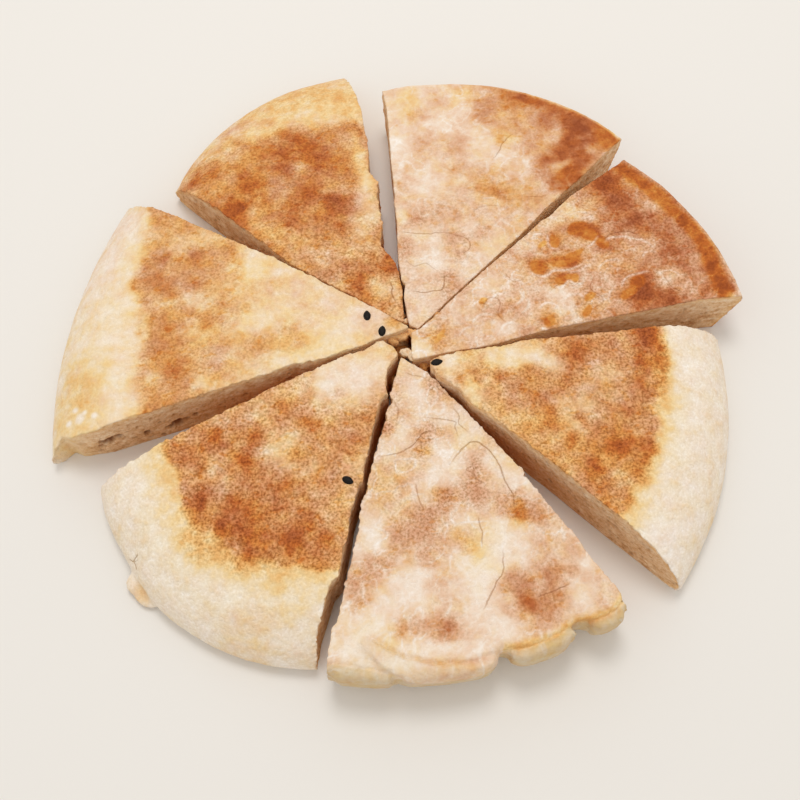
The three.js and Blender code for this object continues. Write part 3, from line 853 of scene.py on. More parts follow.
def right_paint(points):
    moved = warped(points, 1.3, 400)
    zone = inside_circle(moved, (-7.4, -6.2), 87.8, 1.6)
    fringe = inside_circle(moved, (-7.4, -6.2), 93, 4)
    tone = daubed(moved, -0.04 + 0.2 * fringe + 0.31 * zone, [
        (74, -5, 3.5, 0.5, 1.3, 30), (39, -20, 3, 0.34), (81, -8, 3.5, 0.5, 2.0, 90),
        (24, -5, 2, 0.44, 1.4, 60), (16, -8, 5, 0.1, 1.2, -20), (19, -13, 4, 0.24),
        (21, -17, 4, 0.1, 1.5, -20), (28, -12, 3, 0.62, 1.3, -10), (33, -15, 4, 0.55, 1.4, -20),
        (42, -15, 5, 0.62, 1.3, -20), (52, -15, 4, 0.62, 1.2, 10), (42, -21, 3, 0.6),
        (37, -7, 5.5, 0.06, 1.9, -12), (47, -10, 3, 0.14, 1.3, -40), (30, -5, 3, 0.12), (28, -17, 3, 0.28),
        (56, -7, 4, 0.8, 1.7, 75), (64, -5, 3.5, 0.64, 1.3, -50), (66, -9, 2.5, 0.6),
        (79, -1, 4.5, 0.88, 1.3, -60), (78, -3, 2, 0.98), (76, -9, 3, 0.7), (79, -11, 3, 0.7, 1.5, 80),
        (76, -18, 5, 0.66), (58, -17, 4, 0.28, 2.0, 40), (66, -14, 2.5, 0.26), (50, -24, 4, 0.28),
        (57, -24, 2.5, 0.18), (52, -31, 3, 0.2), (48, -33, 3, 0.27), (60, -22, 3, 0.3),
        (45, -28, 3, 0.68, 1.4, 80), (56, -29, 2, 0.64), (33, -22, 4, 0.56, 1.3, -15), (38, -25, 4, 0.44),
        (31, -30, 4, 0.28, 1.4, -40), (37, -31, 4, 0.4), (67, -26, 6, 0.64, 1.3, 20), (74, -24, 3, 0.64),
        (70, -31, 3, 0.56), (62, -33, 4, 0.48), (51, -36, 2.5, 0.68), (54, -41, 2.5, 0.38),
        (46, -41, 3.5, 0.56), (50, -46, 2, 0.32), (57, -46, 4, 0.68, 1.3, 80), (68, -36, 4, 0.66),
        (64, -38, 4, 0.8, 1.3, 50), (72, -40, 3.5, 0.74), (69, -45, 4, 0.66), (62, -44, 3, 0.55),
        (59, -51, 3, 0.62), (64, -49, 3, 0.36), (65, -54, 2, 0.54), (61, -56, 2, 0.45),
        (43, -13.5, 3, 0.56, 1.6, -5), (56, -15, 3, 0.52, 1.5, 40), (45.5, -27.5, 1.5, 0.74, 1.4, 80),
        (55.5, -29, 1.4, 0.7), (31, -14.5, 1.5, 0.66), (58.5, -25, 2.5, 0.22, 1.5, 70),
        (30, -18.5, 2.5, 0.42), (68, -33.5, 3, 0.54, 1.6, 10), (67, -21, 3, 0.4), (73.5, -38.5, 2, 0.72),
        (58, -46, 1.8, 0.74), (65, -39.5, 2, 0.84), (18.5, -14, 2.5, 0.4),
    ])
    flour = daubed(moved, 0.54, [
        (35, -5, 8, 0.2, 2.0, -5), (60, -10, 9, 0.55, 1.6, -10), (40, -32, 10, 0.15, 1.6, -45),
        (64, -42, 10, 0.15, 1.3, 60), (82, -30, 4, 0.0, 4.0, 80), (68, -59, 5, -0.1), (77, -66, 4, 0.8),
        (80, -12, 4, 0.15, 1.6, 90), (22, -16, 3, 0.1), (60, -22, 3, 0.5), (37, -20, 5, 0.55),
        (76, -6, 4, 0.6),
    ])
    flour -= 0.4 * fringe * (1 - zone)
    return tone, flour, 0 * tone


right_seeds = [(12, -6.8, 12)]
right = bread_wedge(
    "wedge_right",
    "right_wedge",
    thickness=22,
    paint=right_paint,
    grain=(1.0, 1.05),
    seeds=right_seeds,
    seed=44,
)
right.data.materials.clear()
right.data.materials.append(toasted_crust)


# ------------------------------------------------------------------------------------------------------
# The near wedge: soft bread that lies turned over, with a lobed rim that swelled between folds of the dough,
# a veil of flour, a few brown spots and fine cracks in its skin. The folds are pressed into its fine skin.

# Where the flat top ends and the wall of the swollen rim begins, in plan from left to right.
LOWER_EDGE, *LOBE_CREASES = [
    [(-40, -94.2), (-32, -95.6), (-24, -97.2), (-15.8, -99.1), (-6.1, -101.6), (-1.9, -103.2), (5, -105)],
    [(-15, -89.6), (-9.8, -92.3), (-6.4, -95.1), (-0.9, -97.5), (6, -98.9), (12.3, -99.4), (16.6, -98.8),
     (20.9, -97.7), (24.5, -96.2)],
    [(24.6, -96.4), (29.1, -96.5), (33.6, -95.7), (38.2, -94.2), (42.4, -92.4), (44, -90.6)],
    [(43.7, -91.6), (47.1, -90.3), (52.5, -89.3), (56.8, -88), (60, -85.8), (62, -82), (64, -76)],
]


def rim_wall(points):
    """Where the crust is the wall of the rim, and where it is the browned border along the wall's top."""
    wall = 1 - fade(points[:, 2], 12, 16)
    border = 0 * wall
    for crease, walled, browned in zip((LOWER_EDGE, *LOBE_CREASES), (1, 0.2, 1, 1), (0.1, 0.08, 0.9, 1)):
        to_crease, close = crack_field(points, [(1.0, crease)], 574, 14.0)
        beyond = fade(-to_crease, -0.2, 0.8) * fade(close, 0, 0.15)
        wall = np.maximum(wall, walled * beyond)
        beside = np.exp(-(((to_crease - 0.8) / 1.3) ** 2)) * fade(points[:, 2], 12, 16)
        border = np.maximum(border, browned * beside * fade(close, 0, 0.15))
    return wall, border


def near_paint(points):
    moved = warped(points, 1.1, 500)
    tone = daubed(moved, 0.25 + np.zeros(len(points)), [
        (1, -4, 3, 0.15), (5, -14, 4.5, 0.05, 1.6, 85), (10, -13, 2.5, 0.32, 1.6, 80), (12, -20, 4, 0.24),
        (15, -24, 4, 0.07, 1.8, -5), (4, -27, 2.5, 0.09, 1.5, 40), (20, -29, 4, 0.03, 1.3, 80),
        (-5, -27, 2.5, 0.42), (7, -32, 4, 0.44, 1.4, 60), (6, -35.5, 2, 0.6), (-2, -33, 4, 0.08, 1.5, 15),
        (12, -34, 4, 0.16), (17, -36, 3, 0.1), (9, -43, 6, 0.04, 1.6, 15), (5, -50, 3, 0.12),
        (17, -57, 3, 0.07, 1.3, 20), (-1.5, -45, 2.5, 0.34, 1.5, 80), (-9, -47, 3, 0.36),
        (-5, -52, 6, 0.28), (-12, -60, 4, 0.04, 2.0, 80), (23, -42, 3, 0.44), (21, -48, 4, 0.42, 1.4, 90),
        (12, -50, 3, 0.56, 1.3, 10), (28, -40, 2.5, 0.12), (33, -46, 5, 0.04, 1.6, -50), (31, -54, 4, 0.42),
        (35, -56, 4.5, 0.58, 1.4, -20), (42, -66, 4, 0.34), (0, -62, 5, 0.42), (5, -59, 5, 0.46, 1.5, 20),
        (4, -63.5, 2, 0.56), (5, -69, 3, 0.42), (16, -63, 3, 0.32), (8, -74, 3, 0.25), (-18, -81, 3, 0.34),
        (-11, -72, 4, 0.48, 1.7, 40), (-15, -76, 3.5, 0.58), (28, -65, 6, 0.02, 1.3, 60),
        (20, -76, 8, 0.02, 1.3, 90), (-10, -86, 9, 0.03, 1.5, 10), (0, -76, 5, 0.02), (-20, -92, 5, 0.05),
        (-2, -89, 4.5, 0.46), (4, -93, 2.5, 0.33), (9.5, -90, 4.5, 0.66, 1.1, -30), (14, -86, 2, 0.4),
        (28, -79, 3, 0.35), (31, -77, 4, 0.46), (28, -86, 3, 0.35), (40, -82, 3, 0.5), (41, -87, 3, 0.38),
        (34, -83, 5, 0.76), (34, -83, 2, 0.84), (41, -75, 3.5, 0.64), (46, -75, 3, 0.4), (50, -82, 4, 0.05),
        (51, -73, 2.5, 0.05), (57, -84, 4, 0.3), (44, -90, 3, 0.24), (25, -91, 4, 0.05), (20, -96, 3, 0.08),
        (6, -63, 4, 0.36), (19, -87, 5, 0.08), (60, -87, 2, 0.32), (32.5, -57, 2.2, 0.72),
        (-15, -80.5, 3, 0.46), (16, -65, 3, 0.36), (6, -77, 2.5, 0.2), (13, -83, 2.5, 0.2),
        (3, -41, 3, 0.24, 1.5, 60), (36, -80, 3, 0.5), (-9, -98, 5, 0.03, 2.2, -12),
        (8, -96, 3, 0.08, 3, -8), (-6, -93, 3, 0.1, 2, -25),
    ])
    wall, border = rim_wall(points)
    tone += (0.27 - tone) * 0.85 * border
    tone += (0.1 - tone) * wall
    flour = daubed(moved, 0.86, [
        (19, -87, 6, 1.0), (6, -62, 5, 0.95), (-5, -45, 7, 0.4, 1.3, 90), (20, -30, 4, 0.25),
        (20, -66, 6, 0.1, 1.2, 90), (-17, -88, 7, 0.6), (-8, -98, 6, 0.8, 2.2, -12), (0, -3, 4, 0.3),
        (9, -48, 5, 1.05), (20, -45, 6, 1.0), (2, -76, 5, 1.1), (20, -90, 5, 1.0),
        (33, -40, 3, 0.4, 1.8, -50), (-8, -93, 6, 0.4), (33, -57, 3, 0.1), (9, -49, 2.5, 0.3),
        (7, -35, 2, 0.2),
    ])
    flour += (-0.15 - flour) * 0.9 * border
    flour += (0.38 - flour) * wall
    return tone, flour, 0.25 * wall


near = bread_wedge(
    "wedge_near",
    "near_wedge",
    thickness=19,
    paint=near_paint,
    grain=(1.5, 0.6),
    cracks=[
        (0.7, [(-8, -36), (-3, -35.5), (1, -34.5), (4, -31.5), (7, -29), (10, -28.5)]),
        (0.8, [(13, -41), (16, -37), (20.5, -33.3), (24, -34), (28, -39), (30, -46), (32, -51), (32, -57)]),
        (0.7, [(20, -85.5), (22, -82), (25, -77), (27, -73), (27, -67)]),
        (0.6, [(36, -82), (41, -80.5), (46, -78.5)]),
        (0.6, [(6, -23.5), (10, -24.5), (15, -25.5), (16.5, -26), (16, -28), (17.5, -32)]),
        (0.6, [(20.5, -30), (17.5, -26.5), (18, -24), (16, -21)]),
        (0.6, [(24, -25.5), (23.5, -29)]),
        (0.6, [(19.5, -19), (21.5, -21.5)]),
        (0.5, [(11, -13), (13, -15), (15.5, -17.5), (18, -18)]),
        (0.5, [(2, -8), (5, -9.5), (9, -11)]),
        (0.5, [(-2.5, -18), (-1, -21), (-2, -25)]),
        (0.6, [(3, -45), (3.5, -49), (5, -54)]),
        (0.6, [(21, -57), (21.5, -61), (21.5, -66)]),
        (0.5, [(21, -40), (21, -44), (23, -47)]),
        (0.5, [(21, -43), (18.5, -42), (23, -40)]),
    ],
    folds=[(0.5, LOWER_EDGE), *((0.9, crease) for crease in LOBE_CREASES)],
    crumbly=0.42,
    wrinkled=0.8,
    rounding=24,
    seed=55,
)
# The corner of the last lobe swelled round.
points = plan_points(near.data)
corner = cover(points, 64.5, -85.5, 4.0)
points[:, 0] -= 1.6 * corner
points[:, 1] += 0.5 * corner
set_plan_points(near.data, points)
# Painted shade: the wall of the swollen rim is marked here to be darkened in the material.
set_attribute(near.data, "painted_wall_shade", rim_wall(points)[0])
near.data.materials.clear()
near.data.materials.append(floured_crust)


# ------------------------------------------------------------------------------------------------------
# The wedge at the near left: bread with its domed side up and a broad cream rim, from which a small torn
# flap of crust stands out at the foot. It carries one seed, and its cut edges are the most ragged.


def near_left_paint(points):
    moved = warped(points, 1.3, 600)
    zone = inside_circle(moved, (-26.3, -24.8), 45.4, 1.6)
    fringe = inside_circle(moved, (-26.3, -24.8), 53.5, 5.5)
    tone = daubed(moved, -0.04 + 0.19 * fringe + 0.37 * zone, [
        (-46, -86, 6, 0.12, 1.8, 0), (-62, -61, 4, 0.33, 1.3, -40), (-14, -8, 10.5, 0.04, 1.5, 15),
        (-24, -11, 3, 0.0), (-5, 1, 3, 0.2), (-20, -16, 3, 0.3), (-30, -12, 3, 0.34), (-37, -15, 4, 0.38),
        (-35, -19, 3, 0.68), (-29, -25, 3.5, 0.72), (-17, -30, 4, 0.58, 1.3, 60), (-13, -24, 3, 0.54),
        (-33, -30, 3, 0.36), (-38, -35, 4.5, 0.22, 1.4, 70), (-35, -39, 4, 0.24), (-32, -34, 2.2, 0.56),
        (-28, -41, 3, 0.3), (-13, -38, 3, 0.25, 1.8, 70), (-27, -48, 4, 0.4, 1.5, 80), (-24, -44, 2, 0.54),
        (-19, -52, 3.5, 0.36, 1.8, 80), (-45, -20, 4, 0.38, 1.4, 60), (-42, -24, 3, 0.4),
        (-50, -30, 3, 0.38), (-56, -22, 3, 0.38), (-62, -25, 2.5, 0.68), (-57, -29, 4, 0.64),
        (-58, -27, 2, 0.76), (-70, -29, 3, 0.62), (-64, -33, 3, 0.7), (-68, -33, 2, 0.6),
        (-61, -38, 2.5, 0.64), (-57, -39, 3, 0.36, 1.5, 80), (-54, -43, 4, 0.42), (-43, -42, 4, 0.64),
        (-46, -31, 2.6, 0.74, 1.9, 65), (-48, -37, 3.5, 0.78), (-47, -37, 1.5, 0.9), (-53, -38, 2, 0.6),
        (-44, -47, 4, 0.62), (-40, -56, 10, 0.66, 1.3, 0), (-36, -45, 4, 0.64, 1.3, -10),
        (-51, -50, 3.5, 0.82, 1.2, 30), (-49, -54, 4, 0.76, 1.4, 50), (-62, -53, 3, 0.66),
        (-62, -48, 3.5, 0.9, 1.3, 80), (-58, -50, 2.2, 0.46), (-56, -56, 2.5, 0.9), (-34, -54, 3, 0.58),
        (-32, -59, 3.5, 0.76), (-35, -62, 2.5, 0.82), (-45, -63, 3.5, 0.8, 1.4, 50), (-26, -63, 3.5, 0.66),
        (-22, -56, 3, 0.44),
    ])
    tone = np.where(points[:, 2] < 6, daubed(points, tone, [(-82, -70, 3, 0.14)]), tone)
    flour = daubed(moved, 0.46, [
        (-12, -3, 2.5, 0.0, 3.5, 20), (-14, -9, 7, 0.85, 1.4, 20), (-68, -62, 7, 0.0, 2.2, -50),
        (-30, -76, 6, -0.1, 2.0, 0), (-77, -33, 5, 0.0), (-62, -47, 4, 0.65), (-52, -50, 4, 0.6),
        (-48, -72, 5, 0.15, 1.5, -15), (-35, -33, 5, 0.2), (-45, -33, 4, 0.6), (-28, -18, 5, 0.55),
        (-22, -62, 4, 0.2),
    ])
    flour -= 0.5 * fringe * (1 - zone)
    return tone, flour, 0 * tone


near_left_seeds = [(-17.2, -44, -31)]
near_left = bread_wedge(
    "wedge_near_left",
    "near_left_wedge",
    thickness=20.5,
    paint=near_left_paint,
    grain=(1.0, 1.15),
    cracks=[(0.9, [(-86, -60.5), (-84, -61.5), (-82, -60)]), (0.9, [(-84, -61.5), (-83, -64)])],
    seeds=near_left_seeds,
    crumbly=0.5,
    seed=66,
)
near_left.data.materials.clear()
near_left.data.materials.append(toasted_crust)


# ------------------------------------------------------------------------------------------------------
# The wedge at the left: the palest bread, domed side up and toasted only on the outer part of the dome,
# with a scrap of torn crumb that hangs from its tip. It carries two seeds, and large pores lie open in the
# cut face towards the near side.


def left_paint(points):
    moved = warped(points, 1.3, 700)
    outer = 1 - fade(moved[:, 0], -62, -42)
    zone = fade(moved[:, 0], -84.5, -80)
    fringe = fade(moved[:, 0], -89, -83)
    tone = 0.02 + daubed(moved, 0.02 + 0.12 * fringe + 0.27 * zone * outer, [
        (-75, 54, 4, 0.5), (-68, 53, 5, 0.46), (-72, 45, 3, 0.26, 1.3, 0), (-62, 46, 5, 0.27),
        (-76.5, 38.5, 3.2, 0.68), (-72, 37, 3, 0.56), (-66, 37, 3.5, 0.68), (-61, 38, 3.2, 0.55, 1.4, 0),
        (-56, 40, 3, 0.42), (-84, 30, 2.5, 0.5), (-80, 29, 3.5, 0.68, 1.4, -10),
        (-74, 26, 3, 0.64, 1.3, -40), (-68, 31, 3, 0.4), (-65, 28.5, 3, 0.58), (-60, 29, 3, 0.42),
        (-65, 21.5, 3, 0.18, 1.4, 0), (-60, 21, 3, 0.27), (-74, 20, 2.5, 0.27, 1.5, 0),
        (-75, 14, 4, 0.54, 1.3, 20), (-71, 16, 3, 0.48), (-59, 15, 3, 0.44), (-66, 13, 3, 0.35),
        (-67, 9, 4, 0.24), (-60, 9, 3, 0.2), (-72, 4, 4, 0.52, 1.2, -70), (-76, -3, 3, 0.44),
        (-71, -3, 3, 0.62), (-78, -6, 2, 0.28), (-69, -10, 3.5, 0.56, 1.6, -60), (-74, -13, 3, 0.54),
        (-62, -8, 2.5, 0.18, 1.5, 20), (-57, -10, 3, 0.18), (-60, 2, 5, 0.36), (-55, -4, 3, 0.35),
        (-43, 6, 4, 0.34), (-46, 3, 3.2, 0.42, 1.3, 80), (-37, 2, 4, 0.29, 1.5, 0), (-32, 3.5, 3, 0.32),
        (-37, -3, 2.5, 0.08), (-45, -5, 3, 0.2), (-53, 32, 3, 0.32), (-45, 26, 5, 0.19),
        (-47, 33, 4, 0.08, 1.3, 80), (-53, 17, 4, 0.3), (-48, 22, 3, 0.22), (-45, 12, 4, 0.08, 2.0, 0),
        (-36, 30, 4, 0.08), (-29, 19, 4, 0.08), (-23, 19, 3.5, 0.2, 1.3, 60), (-17, 8, 5, 0.05),
        (-27, 8, 3, 0.1), (-22, 1, 5, 0.07, 2.0, 10), (-12, 3, 2, 0.18), (-2, 9, 2.5, 0.3),
        (-1, 10, 1.2, 0.44), (-102, -10, 8, 0.19, 1.8, 85), (-81.5, 36, 2, 0.6), (-82, 25, 2.5, 0.44),
        (-81, 0, 2.5, 0.46), (-82, 46, 3, 0.34), (-83, 12, 2.5, 0.3), (-30, 18, 2, 0.16), (-40, 26, 3, 0.2),
        (-36, 8, 3, 0.28, 1.5, 0), (-8, 6, 1.2, 0.24), (-21, 19, 4, 0.1),
    ])
    white = daubed(points, 0, [
        (-103, -13.5, 0.9, 1), (-101, -17, 1.5, 1), (-105, -17.5, 0.8, 1), (-96, -17, 0.8, 1),
        (-99.5, -15.2, 0.7, 1),
    ])
    flour = daubed(moved, 0.32, [
        (-101, -8, 8, -0.1, 2.0, 85), (-86, 35, 3, 0.1, 6.0, 88), (-76, 32, 8, 0.75), (-76, 32, 3, 0.5),
        (-100, 42, 7, 0.9, 1.8, 75), (-92, 57, 6, 1.0), (-62, 9, 3, 0.0, 2.5, 0), (-45, 30, 5, 0.0),
        (-34, 18, 5, 0.0, 1.8, 80), (-22, 4, 6, -0.1, 2.2, 10), (-70, 38, 5, 0.5), (-58, 1, 4, 0.55),
        (-43, 24, 3, 0.5), (-8, 10, 8, 0.8), (-33, 24, 6, 0.6), (-21, 19, 5, 0.7), (-28, 14, 6, 0.5),
        (-2, 9, 2, 0.0), (-12, 3, 2, 0.1),
    ])
    return tone - 0.3 * white, flour + 0.6 * white, 0 * tone


left_seeds = [(-9.3, 12.2, 92), (-4.7, 6.2, 82)]
left = bread_wedge(
    "wedge_left",
    "left_wedge",
    thickness=20.5,
    paint=left_paint,
    grain=(0.9, 0.7),
    pits=[
        (-95.5, -22.6, 8.6, 3.6, 3), (-93, -22, 9.2, 4, 4), (-90.5, -21.3, 9.8, 3.4, 3),
        (-82.3, -18.7, 6.4, 2.8, 3.6), (-75, -16.8, 5.4, 3.6, 3.4), (-72.4, -16, 6.2, 4.6, 5),
        (-69.5, -15.2, 7.4, 3, 3), (-86, -20, 5.5, 2, 2), (-66.5, -14, 8.4, 1.8, 1.8),
    ],
    uncut=(-112, -23, 8.5),
    seeds=left_seeds,
    seed=77,
)
# A small step that the plain wedge has in its cut edge is evened out.
points = plan_points(left.data)
beside_cut = cover(points, -30, -3.5, 3.4)
pulled_out = np.exp(-(((points[:, 0] + 28.3) / 1.3) ** 2))
pushed_in = np.exp(-(((points[:, 0] + 31) / 1.3) ** 2))
points[:, 1] += beside_cut * (0.9 * pulled_out - 0.7 * pushed_in)
set_plan_points(left.data, points)
left.data.materials.clear()
left.data.materials.append(cream_crust)


# ------------------------------------------------------------------------------------------------------
# The black sesame seeds: four flat drops that were pressed into the dough and baked on. Each is a ball
# drawn out to a point at one end and flattened, and sits a little in the crust.

SEED_LENGTH = 3.9
SEED_WIDTH = 2.5
SEED_HEIGHT = 1.5
SEED_SUNK = 0.12
SEED_RINGS = 16


def plain_seed():
    """A ball of radius 1 whose rings get narrower towards one end, pressed to the seed's size."""
    bpy.ops.object.select_all(action="DESELECT")
    quarter_turn = (0, math.pi / 2, 0)
    bpy.ops.mesh.primitive_uv_sphere_add(
        segments=24, ring_count=SEED_RINGS, radius=1.0, rotation=quarter_turn)
    seed = bpy.context.object
    bpy.ops.object.transform_apply(location=False, rotation=True, scale=False)
    for ring in range(1, SEED_RINGS // 2):
        along = math.sin(math.pi * ring / SEED_RINGS)
        bpy.ops.object.mode_set(mode="EDIT")
        bpy.ops.mesh.select_all(action="DESELECT")
        bpy.ops.object.mode_set(mode="OBJECT")
        for vertex in seed.data.vertices:
            vertex.select = abs(vertex.co.x - along) < 0.01
        bpy.ops.object.mode_set(mode="EDIT")
        pointed = 1 - 0.4 * along**1.6
        bpy.ops.transform.resize(value=(1, pointed, pointed), center_override=(0, 0, 0))
        bpy.ops.object.mode_set(mode="OBJECT")
    bpy.ops.object.mode_set(mode="EDIT")
    bpy.ops.mesh.select_all(action="SELECT")
    half_size = Vector((SEED_LENGTH, SEED_WIDTH, SEED_HEIGHT)) / 2 * MM
    bpy.ops.transform.resize(value=half_size, center_override=(0, 0, 0))
    bpy.ops.object.mode_set(mode="OBJECT")
    bpy.ops.object.shade_smooth()
    return seed


def sesame_material():
    made = Nodes("black_sesame")
    dust = made.noise(0.3, detail=2.0)
    colour = made.mix(made.spread(dust, 0.5, 0.8), linear(20, 14, 10), linear(48, 38, 30))
    made.put(made.shader.inputs["Base Color"], colour)
    made.shader.inputs["Roughness"].default_value = 0.55
    made.shader.inputs["Specular IOR Level"].default_value = 0.16
    made.put(made.shader.inputs["Normal"], made.bump(dust, 0.06, strength=0.5))
    return made.material


def set_on_crust(seed, wedge, x, y, turn):
    """Moves a seed's mesh to its plan point on the wedge's crust, turned and tilted to lie flat there."""
    start = Vector(((x + CUT_CROSSING[0]) * MM, (y + CUT_CROSSING[1]) * MM, 0.1))
    _, where, upward, _ = wedge.ray_cast(start, Vector((0, 0, -1)))
    upward = (upward + Vector((0, 0, 2))).normalized()
    tilt = Vector((0, 0, 1)).rotation_difference(upward).to_matrix().to_4x4()
    sunk = Matrix.Translation(where - upward * SEED_SUNK * MM)
    seed.data.transform(sunk @ tilt @ Matrix.Rotation(math.radians(turn), 4, "Z"))


black_sesame = sesame_material()
first_seed = plain_seed()
first_seed.data.materials.append(black_sesame)
bpy.context.view_layer.update()
count = 0
for wedge, node, places in (
    (right, "wedge_right", right_seeds),
    (near_left, "wedge_near_left", near_left_seeds),
    (left, "wedge_left", left_seeds),
):
    for x, y, turn in places:
        count += 1
        seed = bpy.data.objects.new(f"seed_{count}", first_seed.data.copy())
        bpy.context.scene.collection.objects.link(seed)
        set_on_crust(seed, wedge, x, y, turn)
        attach(seed, "root")
        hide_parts(node)
bpy.data.objects.remove(first_seed)


# ------------------------------------------------------------------------------------------------------
# The torn scraps at the middle: where the tips were pulled apart, bits of crumb and thin crust hang between
# them. Each is a ball pressed to its size and roughened all over. The three gap_shade scraps, low in the
# gaps, are warm crumb put there as painted shade.


def scrap(name, node, slot, look, place, size, turn, crumb, tone, flour, warm_shade, seed):
    """A scrap at a plan point and height, of this length, width and height, all in millimetres."""
    bpy.ops.object.select_all(action="DESELECT")
    bpy.ops.mesh.primitive_ico_sphere_add(subdivisions=5, radius=0.5 * MM)
    piece = bpy.context.object
    piece.name = name
    bpy.ops.object.mode_set(mode="EDIT")
    bpy.ops.transform.resize(value=size, center_override=(0, 0, 0))
    bpy.ops.transform.rotate(value=math.radians(turn), orient_axis="Z", center_override=(0, 0, 0))
    middle = Vector((place[0] + CUT_CROSSING[0], place[1] + CUT_CROSSING[1], place[2])) * MM
    bpy.ops.transform.translate(value=middle)
    bpy.ops.object.mode_set(mode="OBJECT")
    points = plan_points(piece.data)
    normals = vertex_values(piece.data, "normal")
    lumps = 0.7 * layered(points, 2.6, seed, 3) + 0.22 * layered(points, 0.8, seed + 5, 2)
    pit = pores(points, 2.2, seed + 9, 0.35)
    points += normals * (lumps - 0.9 * pit)[:, None] * min(1, min(size) / 3)
    set_plan_points(piece.data, points)
    flat = np.ones(len(points))
    looks = {"tone": tone, "flour": flour, "crumb": crumb, "height": 0.8, "rind": 0.9, "warm_shade": warm_shade}
    for attribute, value in looks.items():
        set_attribute(piece.data, attribute, value * flat)
    set_attribute(piece.data, "pit", crumb * pit)
    piece.data.materials.append(look)
    select_only(piece)
    bpy.ops.object.shade_smooth()
    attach(piece, "root")
    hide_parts(node)


SCRAPS = [  # name, wedge it hangs on, place, size, turn, crumb, tone, flour, painted warm shade
    ("scrap_1", "left", (-0.4, 6.2, 17.6), (8.4, 3.2, 3.4), 10, 1, 0.4, 0, 0.45),
    ("scrap_2", "left", (4.9, 7.0, 17.8), (3.8, 2.6, 3.0), 20, 1, 0.5, 0, 0.55),
    ("scrap_3", "left", (-1.4, 4.2, 16.8), (3.6, 1.9, 3), 10, 1, 0.6, 0, 0.6),
    ("scrap_4", "left", (-5.0, 4.9, 17.2), (3.4, 1.9, 3), 24, 1, 0.4, 0, 0.4),
    ("scrap_5", "near", (2.1, -0.4, 18.0), (4.4, 3.2, 2.8), 12, 0, 0.12, 0.5, 0),
    # Painted shade: warm crumb set low in the gap between the tips.
    ("scrap_6", "near", (4.3, -1.6, 17.8), (3.6, 3.6, 2.8), -30, 0, 0.1, 0.5, 0),
    ("scrap_7", "right", (8.3, -3.8, 13.6), (5.2, 3.8, 5), -55, 1, 0.6, 0, 1.0),
    ("scrap_8", "far_left", (3.2, 11.4, 16.6), (2.4, 2.0, 2.6), 0, 0, 0.26, 0.3, 0),
    ("scrap_9", "far_left", (2.4, 14.2, 15.8), (1.6, 1.8, 2.6), 30, 1, 0.4, 0, 0.6),
    ("scrap_10", "left", (-10.8, 2.0, 17.0), (9.0, 1.5, 2.2), 24, 1, 0.4, 0, 0.35),
    # Painted shade: warm crumb set deep in the slit and the hole between the tips.
    ("scrap_11", "near", (-2.6, -3.4, 7.5), (2.4, 9, 7), -10, 1, 0.6, 0, 1.0),
    ("scrap_12", "left", (1.6, 4.0, 9.5), (7, 4.4, 6), 15, 1, 0.6, 0, 1.0),
    ("scrap_13", "left", (2.6, 6.2, 17.6), (3.4, 2.4, 2.8), -30, 1, 0.5, 0, 0.5),
    ("scrap_14", "far_right", (7.0, 9.8, 17.6), (5.0, 1.9, 2.6), 36, 1, 0.5, 0, 0.6),
    ("scrap_15", "far_right", (12.4, 13.6, 17.4), (5.4, 1.7, 2.4), 35, 1, 0.5, 0, 0.6),
]
LOOKS = {
    "left": ("cream_crust", cream_crust),
    "near": ("floured_crust", floured_crust),
    "far_left": ("toasted_crust", toasted_crust),
    "far_right": ("toasted_crust", toasted_crust),
    "right": ("toasted_crust", toasted_crust),
}
for index, (name, wedge, *rest) in enumerate(SCRAPS):
    scrap(name, "wedge_" + wedge, *LOOKS[wedge], *rest, 900 + 11 * index)


# ------------------------------------------------------------------------------------------------------
# The floor: a plain pale sheet of matt paper, flat on the ground and wide enough to fill the picture. The
# bread lies on it.

FLOOR_WIDTH = 4.0  # metres

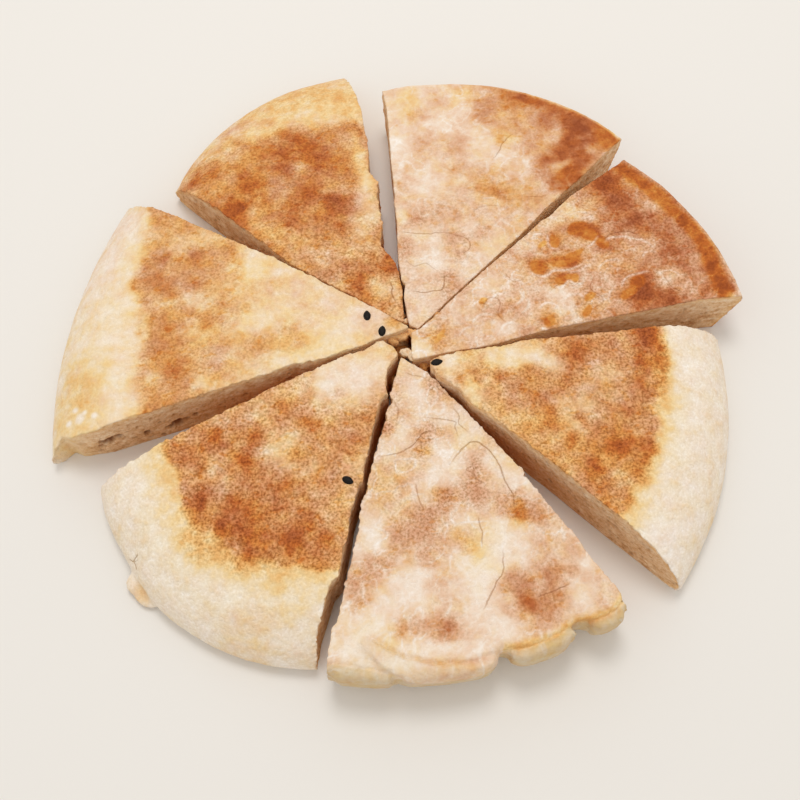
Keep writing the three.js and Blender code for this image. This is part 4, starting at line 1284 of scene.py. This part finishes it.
bpy.ops.object.select_all(action="DESELECT")
bpy.ops.mesh.primitive_plane_add(size=FLOOR_WIDTH, location=(0, 0, 0))
floor = bpy.context.object
floor.name = "floor"
floor_paint = bpy.data.materials.new("floor")
floor_paint.use_nodes = True
floor_shader = floor_paint.node_tree.nodes["Principled BSDF"]
floor_shader.inputs["Base Color"].default_value = linear(232, 228, 222)
floor_shader.inputs["Roughness"].default_value = 0.9
floor.data.materials.append(floor_paint)


# ------------------------------------------------------------------------------------------------------
# The light: a bright soft sky all round, and one large soft lamp behind and above, which hangs free and
# looks at the middle of the floor.

SKY_COLOUR = (1.0, 0.98, 0.95, 1.0)
SKY_STRENGTH = 0.79
LAMP_PLACE = Vector((0.0, 0.3, 0.97))  # metres
LAMP_WIDTH = 0.4
LAMP_POWER = 3.2  # watts

scene = bpy.context.scene
scene.world = bpy.data.worlds.new("sky")
scene.world.use_nodes = True
sky = scene.world.node_tree.nodes["Background"]
sky.inputs["Color"].default_value = SKY_COLOUR
sky.inputs["Strength"].default_value = SKY_STRENGTH

lamp = bpy.data.lights.new("key", "AREA")
lamp.shape = "DISK"
lamp.size = LAMP_WIDTH
lamp.energy = LAMP_POWER
lamp_holder = bpy.data.objects.new("key", lamp)
lamp_holder.location = LAMP_PLACE
lamp_holder.rotation_mode = "QUATERNION"
lamp_holder.rotation_quaternion = (-LAMP_PLACE).to_track_quat("-Z", "Y")
scene.collection.objects.link(lamp_holder)


# ------------------------------------------------------------------------------------------------------
# The camera: it looks down at the bread from the near side, at the photograph's angle, and is turned a
# little about its own axis.

CAMERA_PLACE = (0.366, -163.677, 314.513)  # millimetres
CAMERA_TILT = 24.634  # degrees away from straight down
CAMERA_ROLL = -3.285
CAMERA_LENS = 46.754  # millimetres, on a film 36 mm wide

camera = bpy.data.objects.new("camera", bpy.data.cameras.new("camera"))
camera.data.lens = CAMERA_LENS
camera.data.sensor_width = 36
camera.data.clip_start = 0.01
scene.collection.objects.link(camera)
camera.matrix_world = (
    Matrix.Translation(Vector(CAMERA_PLACE) * MM)
    @ Matrix.Rotation(math.radians(CAMERA_TILT), 4, "X")
    @ Matrix.Rotation(math.radians(CAMERA_ROLL), 4, "Z")
)
scene.camera = camera
scene.view_settings.view_transform = "Standard"
